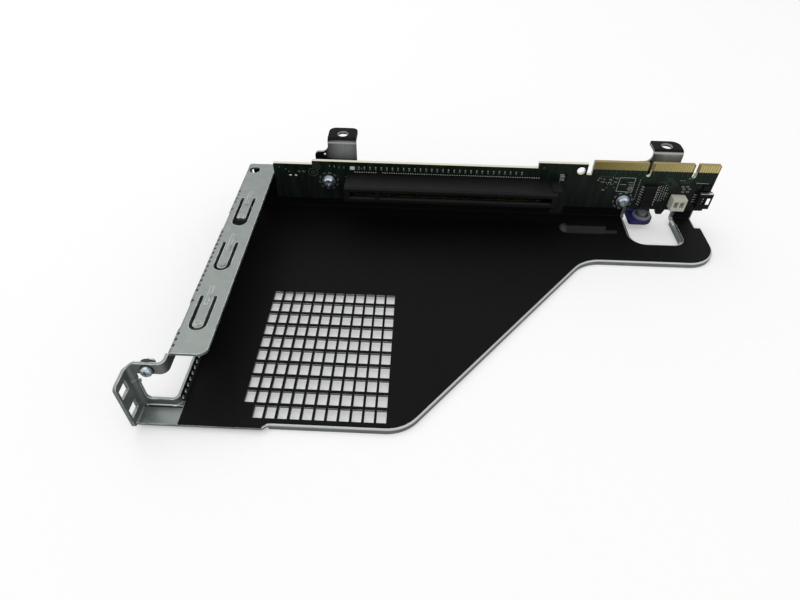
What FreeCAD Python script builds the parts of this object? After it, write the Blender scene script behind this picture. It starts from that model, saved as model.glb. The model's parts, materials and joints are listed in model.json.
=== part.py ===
import FreeCAD, Part
import os
from collections import namedtuple
from math import acos, cos, pi, sin, sqrt, tan

# Riser cage bracket: a folded sheet cage that holds a riser board with one x16 slot.
# Millimetres. While modelling, x = 0 is the outer face of the left wall, y = 0 the front
# face of the hook wall and z = 0 the top of the plate. At the end every piece is moved so
# that the origin is the bottom centre of the whole part.

Vector = FreeCAD.Vector

# Share of half a slot's width that rounds its end
ROUND_END = 0.98

# Sheet
SHEET = 1.0
BEND_IN = 0.8
BEND_OUT = BEND_IN + SHEET
FILM = 0.3

# Plate and its down-turned rim
PLATE_FRONT = -7.2
RIM_START = 30.6
RIM_FRONT = -5.9
RIM_STEP = 1.8
RIM_DEPTH = 2.3
RIM_BEND = 0.8
RIM_CORNER_X = 74.3
RIM_CORNER_R = 13.5
ELBOW_X = 147.3
ELBOW_R = 15.0
ARM_FRONT = 81.7
ARM_CORNER_R = 13.0
RIM_RIGHT = 204.6
RIM_END = 107.3
ARM_RIGHT = 201.8

# Handle cut-out, with a down-turned lip
GRIP_LEFT = 171.2
GRIP_RIGHT = 192.2
GRIP_FRONT = 94.9
GRIP_LEFT_R = 5.5
GRIP_RIGHT_R = 4.0
GRIP_BEND = 1.5
GRIP_WALL_HEIGHT = 12.0

# Vent grid
VENT_COLUMNS = 12
VENT_ROWS = 10
VENT_PITCH_X = 4.0
VENT_PITCH_Y = 6.0
VENT_HOLE_X = 3.2
VENT_HOLE_Y = 5.0
VENT_FIRST_X = 22.6
VENT_FIRST_Y = -1.0

# Left wall, hook wall and end flange
RAIL_TOP = 21.0
RAIL_WIDTH = 12.5
RAIL_FRONT = 4.7
RAIL_END = 115.0
RAIL_CORNER_R = 3.0
RAIL_HOLE_R = 2.4
RAIL_HOLE_FROM_END = 5.1
RAIL_HOLE_FROM_EDGE = 3.7
HOOK_REACH = 12.1
HOOK_BEND_IN = 1.5
FLANGE_FRONT = -8.5
FLANGE_CORNER_R = 1.6
FLANGE_TOP = 19.3
FLANGE_SLOPE = 3.4
WINDOW_BOTTOM = 3.2
WINDOW_TOP = 16.4
WINDOW_END = 105.0
WINDOW_LEFT = 2.8
WINDOW_R = 1.8
FLANGE_SLOT_Y = 4.5
FLANGE_SLOT_Z = 4.1
FLANGE_SLOT_BACK = -3.0
FLANGE_SLOT_HEIGHTS = (5.2, 14.6)
HOOK_SLIT_Z = 13.1
HOOK_SLIT_HEIGHT = 0.6
HOOK_SLIT_LENGTH = 2.9
HOOK_TOOTH = 0.5
HOOK_TOOTH_HEIGHT = 1.2

# Perforated bends
PERF_PITCH = 2.5
PERF_R = 0.75
PERF_SIDES = 6
PERF_FIRST = 3.0
RAIL_PERF_FIRST = 8.0
DIP_SPANS = ((14.5, 28.5), (67.0, 80.0))
DIP_DEPTH = 0.9
DIP_HEIGHT = 3.0

# Spring fingers in the rail: root, reach, end of slot, tip radius
FINGER_WIDTH = 3.5
FINGER_GAP = 1.2
FINGER_PITCH = 29.0
FINGER_FIRST_ROOT = 30.5
FINGER_REACH = 14.8
FINGER_TIP_R = 1.6
FINGER_COUNT = 3
LAST_FINGER_REACH = 14.0
LAST_FINGER_TIP_R = 0.6
LAST_SLOT_EXTRA = 3.5
RIB_WIDTH = 1.3
RIB_LENGTH = 9.0
RIB_HEIGHT = 0.3
DIMPLE_R = 1.1
DIMPLE_BACK = 12.9

# Back wall and its two holed tabs
WALL_FRONT = 114.3
WALL_TOP = 21.0
WALL_LEFT = 2.0
WALL_GAP = 0.3
Tab = namedtuple("Tab", "left top reach hole_reach left_r right_r")
LEFT_TAB = Tab(left=36.2, top=34.5, reach=9.9, hole_reach=4.6, left_r=3.0, right_r=2.6)
RIGHT_TAB = Tab(left=175.0, top=33.8, reach=8.4, hole_reach=4.3, left_r=1.0, right_r=3.6)
TABS = (LEFT_TAB, RIGHT_TAB)
TAB_WIDTH = 12.3
TAB_HOLE_R = 2.1
SHOULDER_WIDTH = 5.8
SHOULDER_TOP = 28.5
SHOULDER_R = 1.6
SHOULDER_FILLET = 3.0
SHOULDER_HOLE_R = 0.6
SHOULDER_HOLE_FROM_TAB = 1.6
SHOULDER_HOLE_DROP = 1.1

# Stiffening bead on the plate, with a low step at its right end
Dome = namedtuple("Dome", "left right y width height")
BEAD = Dome(left=140.1, right=161.3, y=103.3, width=6.6, height=2.4)
BEAD_STEP = Dome(left=158.0, right=165.4, y=102.1, width=3.4, height=1.0)
DOME_SLOPE = 0.9
DOME_ROUND = 0.9

# Film
FILM_LEFT = 2.0
FILM_INSET = 0.7

# Riser board
BOARD_FRONT = 107.6
BOARD_THICKNESS = 1.6
BOARD_RAIL_GAP = 0.4
BOARD_RIGHT = 201.6
BOARD_BOTTOM = 9.1
LOW_EDGE = 26.1
MAIN_EDGE = 27.8
RAISED_EDGE = 30.4
GOLD_EDGE = 31.8
MAIN_START = 29.8
RAISED_START = 126.1
RAISED_END = 146.9
GOLD_START = 149.1
KEY_BOTTOM = 25.4
KEY_WIDTH = 1.7
KEY_CENTRES = (172.8, 191.8)
BOARD_HOLE_X = 144.4
BOARD_HOLE_Z = 27.2
BOARD_HOLE_R = 1.75
BOARD_CORNER_R = 0.5
GOLD_CORNER_R = 0.6
KEY_CORNER_R = 0.3
FOOT_X = 183.2
FOOT_WIDTH = 4.2
FOOT_TIP = 2.4
FOOT_DROP = 2.5
FOOT_CORNER_R = 0.4
CONTACT_THICKNESS = 0.12
CONTACT_WIDTH = 0.8
CONTACT_PITCH = 1.0
CONTACT_HEIGHT = 3.3
CONTACT_EDGE_GAP = 0.1

# Board fasteners: centre in x and z
SCREW_POINTS = ((36.6, 18.2), (165.6, 13.1))
SCREW_R = 1.25
SCREW_HEAD_R = 2.3
SCREW_HEAD_HEIGHT = 1.7
SCREW_HEAD_CHAMFER = 0.7
WASHER_R = 2.9
WASHER_THICKNESS = 0.5
STANDOFF_R = 2.5
HOLE_CLEARANCE = 0.3
THREAD_CLEARANCE = 0.05
RECESS_REACH = 1.2
RECESS_HALF_WIDTH = 0.3
RECESS_DEPTH = 0.9

# Slot for the expansion card
SLOT_LEFT = 44.6
SLOT_LENGTH = 89.5
SLOT_DEPTH = 11.2
SLOT_BOTTOM = 14.8
SLOT_HEIGHT = 7.5
GROOVE_HEIGHT = 1.9
GROOVE_DEPTH = 8.0
GROOVE_END = 2.2
GROOVE_MOUTH = 0.7
SLOT_CHAMFER = 0.8
SLOT_KEY_FROM_LEFT = 14.0
SLOT_KEY_WIDTH = 1.6
SLOT_PIN_WIDTH = 0.5
SLOT_PIN_FIRST = 3.6
SLOT_PIN_LAST = 6.9
SLOT_PIN_THICKNESS = 0.25
SLOT_PIN_SETBACK = 2.0
SLOT_POCKET_SETBACK = 1.5
SLOT_POCKET_CLEARANCE = 0.15
SLOT_EAR_LENGTH = 3.6
SLOT_EAR_OVERLAP = 2.0
SLOT_EAR_BOTTOM = 12.0
SLOT_EAR_HEIGHT = 10.8
SLOT_EAR_DEPTH = 9.5
SLOT_EAR_CUT = 1.8
SLOT_EAR_R = 0.6

# Power header
HEADER_LEFT = 185.4
HEADER_WIDTH = 6.0
HEADER_DEPTH = 4.2
HEADER_BOTTOM = 11.3
HEADER_HEIGHT = 5.8
HEADER_WALL = 0.9
HEADER_WEB = 0.8
HEADER_SILL = 1.5
HEADER_LINTEL = 1.3
HEADER_PIN = 0.5
HEADER_PIN_PITCH = 1.5

# Side connector, open to the right and through a window in its front
SIDE_LEFT = 196.6
SIDE_WIDTH = 5.6
SIDE_DEPTH = 2.6
SIDE_BOTTOM = 11.9
SIDE_HEIGHT = 7.3
SIDE_WALL = 0.5
SIDE_WINDOW_LEFT = 1.6
SIDE_WINDOW_LOW = 2.0
SIDE_WINDOW_HIGH = 1.9
SIDE_COVER_THICKNESS = 0.3
SIDE_TONGUE_LENGTH = 2.2
SIDE_TONGUE_THICKNESS = 0.8
SIDE_TONGUE_SETBACK = 1.2
SIDE_TONGUE_INSET = 1.4
SIDE_PIN_COUNT = 4
SIDE_PIN_PITCH = 1.2
SIDE_PIN_FIRST = 1.9
SIDE_PIN_WIDTH = 0.4
SIDE_PIN_THICKNESS = 0.15
SIDE_LEAD = 1.5

# Logic chip and small parts on the board
CHIP_LEFT = 172.9
CHIP_WIDTH = 5.3
CHIP_BOTTOM = 10.8
CHIP_LENGTH = 10.7
CHIP_HEIGHT = 1.5
CHIP_CHAMFER = 0.25
LEAD_PITCH = 1.27
LEAD_COUNT = 8
LEAD_WIDTH = 0.45
LEAD_REACH = 1.1
LEAD_THICKNESS = 0.2
LEAD_RISE = 0.8
PART_HEIGHT = 0.5
COUPLING_COUNT = 30
COUPLING_PITCH = 2.4
COUPLING_SIZE = (0.6, 1.1)
COUPLING_FIRST = 50.0
COUPLING_Z = 25.1

# Small board parts: centres in x and z, sizes in x and z, and how far they stand out
CAPACITOR_PLACES = ((189.0, 21.3), (190.9, 21.4), (189.7, 20.2), (192.1, 20.3), (189.7, 18.8),
                    (191.7, 18.9), (157.6, 23.7), (160.0, 24.4), (160.0, 22.5), (155.6, 18.4),
                    (24.0, 22.6), (26.0, 22.6))
CAPACITOR_SIZE = (0.9, 0.6)
TALL_CAPACITOR_PLACE = (136.7, 24.1)
TALL_CAPACITOR_SIZE = (2.0, 2.3)
TALL_CAPACITOR_HEIGHT = 1.3
RESISTOR_PLACES = ((154.6, 22.3), (156.6, 22.0), (158.7, 21.4), (183.2, 17.6), (183.2, 16.2),
                   (153.0, 24.1))
RESISTOR_SIZE = (1.0, 0.5)
RESISTOR_HEIGHT = 0.35
REGULATOR_PLACES = ((134.6, 24.1), (138.8, 24.1), (199.2, 21.3))
REGULATOR_SIZES = ((1.4, 2.0), (1.2, 2.0), (3.4, 2.2))
REGULATOR_HEIGHT = 1.0
LAMP_PLACE = (47.2, 25.1)
LAMP_SIZE = (2.0, 1.2)
LAMP_HEIGHT = 0.7

# Touch point
TOUCH_LEFT = 171.6
TOUCH_WIDTH = 10.8
TOUCH_FRONT = 106.8
TOUCH_BOTTOM = 1.0
TOUCH_THICKNESS = 2.0
TOUCH_LEG = 2.0
TOUCH_LEG_TOP = 18.0
TOUCH_CORNER_R = 1.2
TOUCH_END_R = 4.5
COLLAR_X = 177.7
COLLAR_Y = 111.2
COLLAR_R = 4.0
COLLAR_HEIGHT = 3.1
COLLAR_CHAMFER = 0.4
COLLAR_BORE_R = 3.0
COLLAR_BORE_DEPTH = 1.7
COLLAR_POST_R = 1.9
COLLAR_POST_HEIGHT = 3.9

# Card screw in the hook wall
CARD_SCREW_X = -4.8
CARD_SCREW_Z = 18.4
CARD_SCREW_R = 1.4
CARD_HEAD_R = 1.85
CARD_HEAD_HEIGHT = 1.6
CARD_HEAD_CHAMFER = 0.5
CARD_NUT_R = 2.85
CARD_NUT_THICKNESS = 1.0
CARD_NUT_BARREL_R = 2.0
CARD_NUT_LENGTH = 1.6
CARD_SLEEVE_R = 1.75
CARD_RIM_R = 2.2
CARD_RIM_THICKNESS = 0.2

# Worked out from the driving sizes
PLATE_BACK = WALL_FRONT + SHEET
HOOK_BEND_OUT = HOOK_BEND_IN + SHEET
BOARD_LEFT = RAIL_WIDTH + BOARD_RAIL_GAP
BOARD_BACK = BOARD_FRONT + BOARD_THICKNESS
TAB_BACK = WALL_FRONT + max(tab.reach for tab in TABS)
FOLDS_TOP = max(tab.top for tab in TABS)
SLOT_MIDDLE = SLOT_BOTTOM + SLOT_HEIGHT / 2


def flat(a, b):
    """Point of the plate's plane."""
    return Vector(a, b, 0)


def facing_y(a, b):
    """Point of a plane across y, from x and z."""
    return Vector(a, 0, b)


def facing_x(a, b):
    """Point of a plane across x, from y and z."""
    return Vector(0, a, b)


def outline(corners, place=flat):
    """Closed wire through corners of (a, b) or (a, b, radius), with each radius as an arc."""
    spots = [Vector(c[0], c[1], 0) for c in corners]
    radii = [c[2] if len(c) > 2 else 0 for c in corners]
    arrive, middle, leave = [], [], []
    for i, spot in enumerate(spots):
        before = spots[i - 1] - spot
        after = spots[(i + 1) % len(spots)] - spot
        before.normalize()
        after.normalize()
        half = acos(max(-1, min(1, before.dot(after)))) / 2
        if radii[i] == 0:
            arrive.append(spot)
            middle.append(None)
            leave.append(spot)
            continue
        reach = radii[i] / tan(half)
        inward = (before + after).normalize()
        centre = spot + inward * (radii[i] / sin(half))
        arrive.append(spot + before * reach)
        middle.append(centre - inward * radii[i])
        leave.append(spot + after * reach)
    edges = []
    for i in range(len(spots)):
        last = leave[i - 1]
        if (arrive[i] - last).Length > 1e-6:
            edges.append(Part.makeLine(place(last.x, last.y), place(arrive[i].x, arrive[i].y)))
        if middle[i] is not None:
            bend = [place(p.x, p.y) for p in (arrive[i], middle[i], leave[i])]
            edges.append(Part.Arc(*bend).toShape())
    return Part.Wire(Part.__sortEdges__(edges))


def slab(corners, z0, z1):
    """Plan outline between two heights."""
    face = Part.Face(outline(corners))
    face.translate(Vector(0, 0, z0))
    return face.extrude(Vector(0, 0, z1 - z0))


def panel(corners, y0, y1):
    """Outline in x and z between two depths."""
    face = Part.Face(outline(corners, facing_y))
    face.translate(Vector(0, y0, 0))
    return face.extrude(Vector(0, y1 - y0, 0))


def side_panel(corners, x0, x1):
    """Outline in y and z between two places along x."""
    face = Part.Face(outline(corners, facing_x))
    face.translate(Vector(x0, 0, 0))
    return face.extrude(Vector(x1 - x0, 0, 0))


def block(x0, x1, y0, y1, z0, z1):
    return Part.makeBox(x1 - x0, y1 - y0, z1 - z0, Vector(x0, y0, z0))


def rod(radius, start, end):
    axis = end - start
    return Part.makeCylinder(radius, axis.Length, start, axis)


def corner_strip(start, end, side_a, side_b, radius):
    """Prism between a square corner and the arc that rounds it, along the corner's line.

    Added in an inner corner it is a fillet, and cut from an outer corner it rounds it.
    """
    foot_a = start + side_a * radius
    foot_b = start + side_b * radius
    middle = start + (side_a + side_b) * (radius * (1 - sqrt(0.5)))
    edges = [
        Part.makeLine(start, foot_a),
        Part.Arc(foot_a, middle, foot_b).toShape(),
        Part.makeLine(foot_b, start),
    ]
    return Part.Face(Part.Wire(edges)).extrude(end - start)


def fuse(shapes):
    joined = shapes[0].multiFuse(list(shapes[1:])) if len(shapes) > 1 else shapes[0]
    return joined.removeSplitter()


RIGHT = Vector(1, 0, 0)
BACK = Vector(0, 1, 0)
FORWARD = Vector(0, -1, 0)
UP = Vector(0, 0, 1)
DOWN = Vector(0, 0, -1)


def plate_corners():
    """Outer edge of the plate, from the hook round the front and the arm to the back."""
    return [
        (-HOOK_REACH, PLATE_FRONT),
        (RIM_START - RIM_STEP, PLATE_FRONT),
        (RIM_START, RIM_FRONT),
        (RIM_CORNER_X, RIM_FRONT, RIM_CORNER_R),
        (ELBOW_X, ARM_FRONT, ELBOW_R),
        (RIM_RIGHT, ARM_FRONT, ARM_CORNER_R),
        (RIM_RIGHT, RIM_END),
        (ARM_RIGHT, RIM_END),
        (ARM_RIGHT, PLATE_BACK),
        (0, PLATE_BACK),
        (0, SHEET),
        (-HOOK_REACH, SHEET, HOOK_BEND_OUT),
    ]


def inset_face(corners, inset):
    """Face of a plan outline, moved inwards by inset."""
    wire = outline(corners)
    return Part.Face(wire.makeOffset2D(-inset))


def grip_corners(grow):
    """Handle cut-out, open to the back, with its edge moved outwards by grow."""
    beyond = TAB_BACK
    return [
        (GRIP_LEFT - grow, beyond),
        (GRIP_LEFT - grow, GRIP_FRONT - grow, GRIP_LEFT_R + grow),
        (GRIP_RIGHT + grow, GRIP_FRONT - grow, GRIP_RIGHT_R + grow),
        (GRIP_RIGHT + grow, beyond),
    ]


def vent_holes(z0, z1):
    """Vent grid, with its front left hole left out."""
    holes = []
    for row in range(VENT_ROWS):
        for column in range(VENT_COLUMNS):
            if row == 0 and column == 0:
                continue
            x = VENT_FIRST_X + column * VENT_PITCH_X
            y = VENT_FIRST_Y + row * VENT_PITCH_Y
            holes.append(block(x - VENT_HOLE_X / 2, x + VENT_HOLE_X / 2,
                               y - VENT_HOLE_Y / 2, y + VENT_HOLE_Y / 2, z0, z1))
    return holes


def on_rim(edge):
    """Top edges of the plate that carry the rim or the lip of the handle cut-out."""
    middle = edge.valueAt((edge.FirstParameter + edge.LastParameter) / 2)
    if abs(middle.z) > 1e-6 or edge.BoundBox.ZLength > 1e-6:
        return None
    if middle.y > WALL_FRONT - BEND_OUT or middle.x < RIM_START + 0.5:
        return None
    around_grip = GRIP_LEFT - 1 < middle.x < GRIP_RIGHT + 1 and middle.y > GRIP_FRONT - 1
    if around_grip:
        return GRIP_BEND
    return RIM_BEND if middle.y < RIM_END - 1e-3 else None


def plate():
    """Plate with its down-turned rim and the down-turned lip of the handle cut-out."""
    top = slab(plate_corners(), -SHEET, 0)
    skirt = slab(plate_corners(), -RIM_DEPTH, -SHEET)
    core = inset_face(plate_corners(), SHEET)
    core.translate(Vector(0, 0, -RIM_DEPTH))
    skirt = skirt.cut(core.extrude(Vector(0, 0, RIM_DEPTH)))
    skirt = skirt.common(block(RIM_START, RIM_RIGHT, RIM_FRONT, RIM_END, -RIM_DEPTH, 0))
    back_limit = block(0, RIM_RIGHT, 0, WALL_FRONT - BEND_OUT, -RIM_DEPTH, 0)
    lip = slab(grip_corners(SHEET), -RIM_DEPTH, -SHEET).common(back_limit)
    body = fuse([top, skirt, lip]).cut(slab(grip_corners(0), -RIM_DEPTH, SHEET))
    for radius in (RIM_BEND, GRIP_BEND):
        edges = [edge for edge in body.Edges if on_rim(edge) == radius]
        body = body.makeFillet(radius, edges)
    return body


def hook_path():
    """Plan of the upright ribbon: left wall, hook wall and end flange."""
    inner = -HOOK_REACH + SHEET
    return [
        (SHEET, RAIL_FRONT),
        (SHEET, 0, HOOK_BEND_OUT),
        (inner, 0, HOOK_BEND_IN),
        (inner, FLANGE_FRONT),
        (-HOOK_REACH, FLANGE_FRONT),
        (-HOOK_REACH, SHEET, HOOK_BEND_OUT),
        (0, SHEET, HOOK_BEND_IN),
        (0, RAIL_FRONT),
    ]


def finger_slots():
    """The U slots that free the rail's spring fingers."""
    slots = []
    middle = RAIL_WIDTH / 2
    half = FINGER_WIDTH / 2
    outer = half + FINGER_GAP
    for number in range(FINGER_COUNT):
        root = FINGER_FIRST_ROOT + number * FINGER_PITCH
        last = number == FINGER_COUNT - 1
        tip = root - (LAST_FINGER_REACH if last else FINGER_REACH)
        tip_r = LAST_FINGER_TIP_R if last else FINGER_TIP_R
        end = tip - FINGER_GAP - (LAST_SLOT_EXTRA if last else 0)
        corners = [
            (middle - outer, root),
            (middle - outer, end, outer * ROUND_END),
            (middle + outer, end, outer * ROUND_END),
            (middle + outer, root),
            (middle + half, root),
            (middle + half, tip, tip_r),
            (middle - half, tip, tip_r),
            (middle - half, root),
        ]
        slots.append(slab(corners, RAIL_TOP - 2 * SHEET, RAIL_TOP + SHEET))
    return slots


def finger_ribs():
    """Pressed rib over each finger's root and the contact dimple near its tip."""
    ribs = []
    middle = RAIL_WIDTH / 2
    half = RIB_WIDTH / 2
    for number in range(FINGER_COUNT):
        root = FINGER_FIRST_ROOT + number * FINGER_PITCH
        front = root - RIB_LENGTH / 2
        ribs.append(block(middle - half, middle + half, front, front + RIB_LENGTH,
                          RAIL_TOP - SHEET / 2, RAIL_TOP + RIB_HEIGHT))
        seat = Vector(middle, root - DIMPLE_BACK, RAIL_TOP - SHEET / 2)
        ribs.append(rod(DIMPLE_R, seat, seat + UP * (SHEET / 2 + RIB_HEIGHT)))
    return ribs


def upright_ribbon():
    """Left wall with its bends and rail, hook wall and end flange."""
    wall = block(0, SHEET, RAIL_FRONT, RAIL_END, -SHEET, RAIL_TOP)
    ribbon = slab(hook_path(), -SHEET, RAIL_TOP)
    rail_plan = [
        (0, RAIL_FRONT),
        (RAIL_WIDTH, RAIL_FRONT, RAIL_CORNER_R),
        (RAIL_WIDTH, RAIL_END),
        (0, RAIL_END),
    ]
    rail = slab(rail_plan, RAIL_TOP - SHEET, RAIL_TOP)
    rail_fold = corner_strip(Vector(SHEET, RAIL_FRONT, RAIL_TOP - SHEET),
                             Vector(SHEET, RAIL_END, RAIL_TOP - SHEET), RIGHT, DOWN, BEND_IN)
    body = fuse([wall, ribbon, rail, rail_fold] + finger_ribs())
    body = body.cut(finger_slots())
    hole_x = RAIL_HOLE_FROM_EDGE
    hole_y = RAIL_END - RAIL_HOLE_FROM_END
    return body.cut(rod(RAIL_HOLE_R, Vector(hole_x, hole_y, RAIL_TOP - 2 * SHEET),
                        Vector(hole_x, hole_y, RAIL_TOP + SHEET)))


def back_wall(y0, y1):
    """Back wall with its two tabs, between two depths, up to the tabs' folds."""
    under_rail = RAIL_TOP - SHEET - WALL_GAP
    pieces = [panel([
        (WALL_LEFT, -SHEET),
        (ARM_RIGHT, -SHEET),
        (ARM_RIGHT, WALL_TOP, SHOULDER_R),
        (RAIL_WIDTH + WALL_GAP, WALL_TOP),
        (RAIL_WIDTH + WALL_GAP, under_rail),
        (WALL_LEFT, under_rail),
    ], y0, y1)]
    for tab in TABS:
        right = tab.left + TAB_WIDTH
        pieces.append(panel([
            (tab.left - SHOULDER_WIDTH, WALL_TOP - SHOULDER_R * 2),
            (right, WALL_TOP - SHOULDER_R * 2),
            (right, tab.top),
            (tab.left, tab.top),
            (tab.left, SHOULDER_TOP, SHOULDER_FILLET),
            (tab.left - SHOULDER_WIDTH, SHOULDER_TOP, SHOULDER_R),
        ], y0, y1))
    return fuse(pieces)


def tab_flange(tab, z0, z1, clear):
    """Holed top flange of a tab, with its hole opened by clear."""
    right = tab.left + TAB_WIDTH
    flange = slab([
        (tab.left, WALL_FRONT),
        (right, WALL_FRONT),
        (right, WALL_FRONT + tab.reach, tab.right_r),
        (tab.left, WALL_FRONT + tab.reach, tab.left_r),
    ], z0, z1)
    x = tab.left + TAB_WIDTH / 2
    y = WALL_FRONT + tab.hole_reach
    return flange.cut(rod(TAB_HOLE_R + clear, Vector(x, y, z0 - SHEET), Vector(x, y, z1 + SHEET)))


def dome(form, grow, foot):
    """Pressed form with sloped sides, larger by grow on every side, from the height foot up."""
    half = form.width / 2 + grow
    left = form.left - grow
    right = form.right + grow
    top = form.height + grow
    end_r = half * DOME_ROUND
    body = slab([
        (left, form.y - half, end_r),
        (right, form.y - half, end_r),
        (right, form.y + half, end_r),
        (left, form.y + half, end_r),
    ], foot, top)
    return body.makeChamfer(DOME_SLOPE * top, [e for e in body.Edges if e.BoundBox.ZMin > top - 1e-3])


def shoulder_hole():
    """Cutter for the small hole in the left tab's shoulder."""
    x = LEFT_TAB.left - SHOULDER_HOLE_FROM_TAB
    z = SHOULDER_TOP - SHOULDER_HOLE_DROP
    return rod(SHOULDER_HOLE_R, Vector(x, WALL_FRONT - SHEET, z), Vector(x, PLATE_BACK + SHEET, z))


def in_dip(y):
    return any(low < y < high for low, high in DIP_SPANS)


def bend_punch(y, z, way):
    """Small punch through a bend of the left wall at 45 degrees, from inside at height z."""
    inside = Vector(2 * SHEET, y, z)
    slant = Vector(-1, 0, way)
    across = Vector(way, 0, 1) * sqrt(0.5)
    rim = []
    for number in range(PERF_SIDES + 1):
        turn = 2 * pi * (number + 0.5) / PERF_SIDES
        rim.append(inside + across * (PERF_R * cos(turn)) + BACK * (PERF_R * sin(turn)))
    return Part.Face(Part.makePolygon(rim)).extrude(slant * 4 * SHEET)


def perforations():
    """Row of small holes through each of the two long bends of the left wall."""
    punches = []
    y = PERF_FIRST
    while y < RAIL_END - PERF_PITCH:
        punches.append(bend_punch(y, 2 * SHEET, -1))
        y += PERF_PITCH
    y = RAIL_PERF_FIRST
    while y < RAIL_END - PERF_PITCH:
        if not in_dip(y):
            punches.append(bend_punch(y, RAIL_TOP - 2 * SHEET, 1))
        y += PERF_PITCH
    return punches


def wall_cuts():
    """Card window round the hook corner, flange slots and slope, slit, dips, screw hole."""
    window_left = -HOOK_REACH + WINDOW_LEFT
    slit_low = HOOK_SLIT_Z - HOOK_SLIT_HEIGHT / 2
    tooth_foot = slit_low - HOOK_TOOTH_HEIGHT
    cuts = [side_panel([
        (-SHEET, WINDOW_BOTTOM),
        (WINDOW_END, WINDOW_BOTTOM, WINDOW_R),
        (WINDOW_END, WINDOW_TOP, WINDOW_R),
        (-SHEET, WINDOW_TOP),
    ], -SHEET, 2 * SHEET)]
    cuts.append(panel([
        (window_left, WINDOW_BOTTOM, WINDOW_R),
        (2 * SHEET, WINDOW_BOTTOM),
        (2 * SHEET, WINDOW_TOP),
        (window_left, WINDOW_TOP),
        (window_left, slit_low),
        (window_left + HOOK_TOOTH, slit_low),
        (window_left + HOOK_TOOTH, tooth_foot),
        (window_left, tooth_foot),
    ], -SHEET, HOOK_BEND_OUT + SHEET))
    flange_x = -HOOK_REACH - SHEET
    for height in FLANGE_SLOT_HEIGHTS:
        cuts.append(block(flange_x, flange_x + 3 * SHEET,
                          FLANGE_SLOT_BACK - FLANGE_SLOT_Y, FLANGE_SLOT_BACK,
                          height - FLANGE_SLOT_Z / 2, height + FLANGE_SLOT_Z / 2))
    cuts.append(block(window_left - HOOK_SLIT_LENGTH, window_left + SHEET, -SHEET, 2 * SHEET,
                      slit_low, slit_low + HOOK_SLIT_HEIGHT))
    slope_end = -HOOK_REACH + FLANGE_SLOPE
    cuts.append(panel([
        (slope_end, RAIL_TOP),
        (-HOOK_REACH + SHEET, FLANGE_TOP),
        (flange_x, FLANGE_TOP),
        (flange_x, RAIL_TOP + SHEET),
        (slope_end, RAIL_TOP + SHEET),
    ], FLANGE_FRONT - SHEET, HOOK_BEND_OUT + SHEET))
    for low, high in DIP_SPANS:
        cuts.append(slab([
            (-SHEET, low),
            (DIP_DEPTH, low + SHEET, SHEET),
            (DIP_DEPTH, high - SHEET, SHEET),
            (-SHEET, high),
        ], RAIL_TOP - DIP_HEIGHT, RAIL_TOP + SHEET))
    cuts.append(rod(CARD_SLEEVE_R + THREAD_CLEARANCE, Vector(CARD_SCREW_X, -SHEET, CARD_SCREW_Z),
                    Vector(CARD_SCREW_X, 2 * SHEET, CARD_SCREW_Z)))
    return cuts


def flange_corner_cutters():
    """Rounds the end flange's two free corners."""
    x0 = -HOOK_REACH - SHEET
    x1 = -HOOK_REACH + 2 * SHEET
    top = corner_strip(Vector(x0, FLANGE_FRONT, FLANGE_TOP), Vector(x1, FLANGE_FRONT, FLANGE_TOP),
                       BACK, DOWN, FLANGE_CORNER_R)
    foot = corner_strip(Vector(x0, FLANGE_FRONT, -SHEET), Vector(x1, FLANGE_FRONT, -SHEET),
                        BACK, UP, FLANGE_CORNER_R)
    return [top, foot]


def fold_lines():
    """Each straight fold: inner start, inner end, outer start, outer end, two sides."""
    inner_flange = -HOOK_REACH + SHEET
    hook_left = -HOOK_REACH + HOOK_BEND_OUT
    folds = [
        (Vector(SHEET, HOOK_BEND_OUT, 0), Vector(SHEET, RAIL_END, 0),
         Vector(0, HOOK_BEND_OUT, -SHEET), Vector(0, RAIL_END, -SHEET), RIGHT, UP),
        (Vector(hook_left, 0, 0), Vector(SHEET - HOOK_BEND_OUT, 0, 0),
         Vector(hook_left, SHEET, -SHEET), Vector(-HOOK_BEND_IN, SHEET, -SHEET), FORWARD, UP),
        (Vector(inner_flange, PLATE_FRONT, 0), Vector(inner_flange, -HOOK_BEND_IN, 0),
         Vector(-HOOK_REACH, PLATE_FRONT, -SHEET), Vector(-HOOK_REACH, -HOOK_BEND_IN, -SHEET),
         RIGHT, UP),
        (Vector(WALL_LEFT, WALL_FRONT, 0), Vector(ARM_RIGHT, WALL_FRONT, 0),
         Vector(WALL_LEFT, PLATE_BACK, -SHEET), Vector(ARM_RIGHT, PLATE_BACK, -SHEET),
         FORWARD, UP),
    ]
    for tab in TABS:
        right = tab.left + TAB_WIDTH
        low = tab.top - SHEET
        folds.append((Vector(tab.left, PLATE_BACK, low), Vector(right, PLATE_BACK, low),
                      Vector(tab.left, WALL_FRONT, tab.top), Vector(right, WALL_FRONT, tab.top),
                      BACK, DOWN))
    return folds


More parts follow.
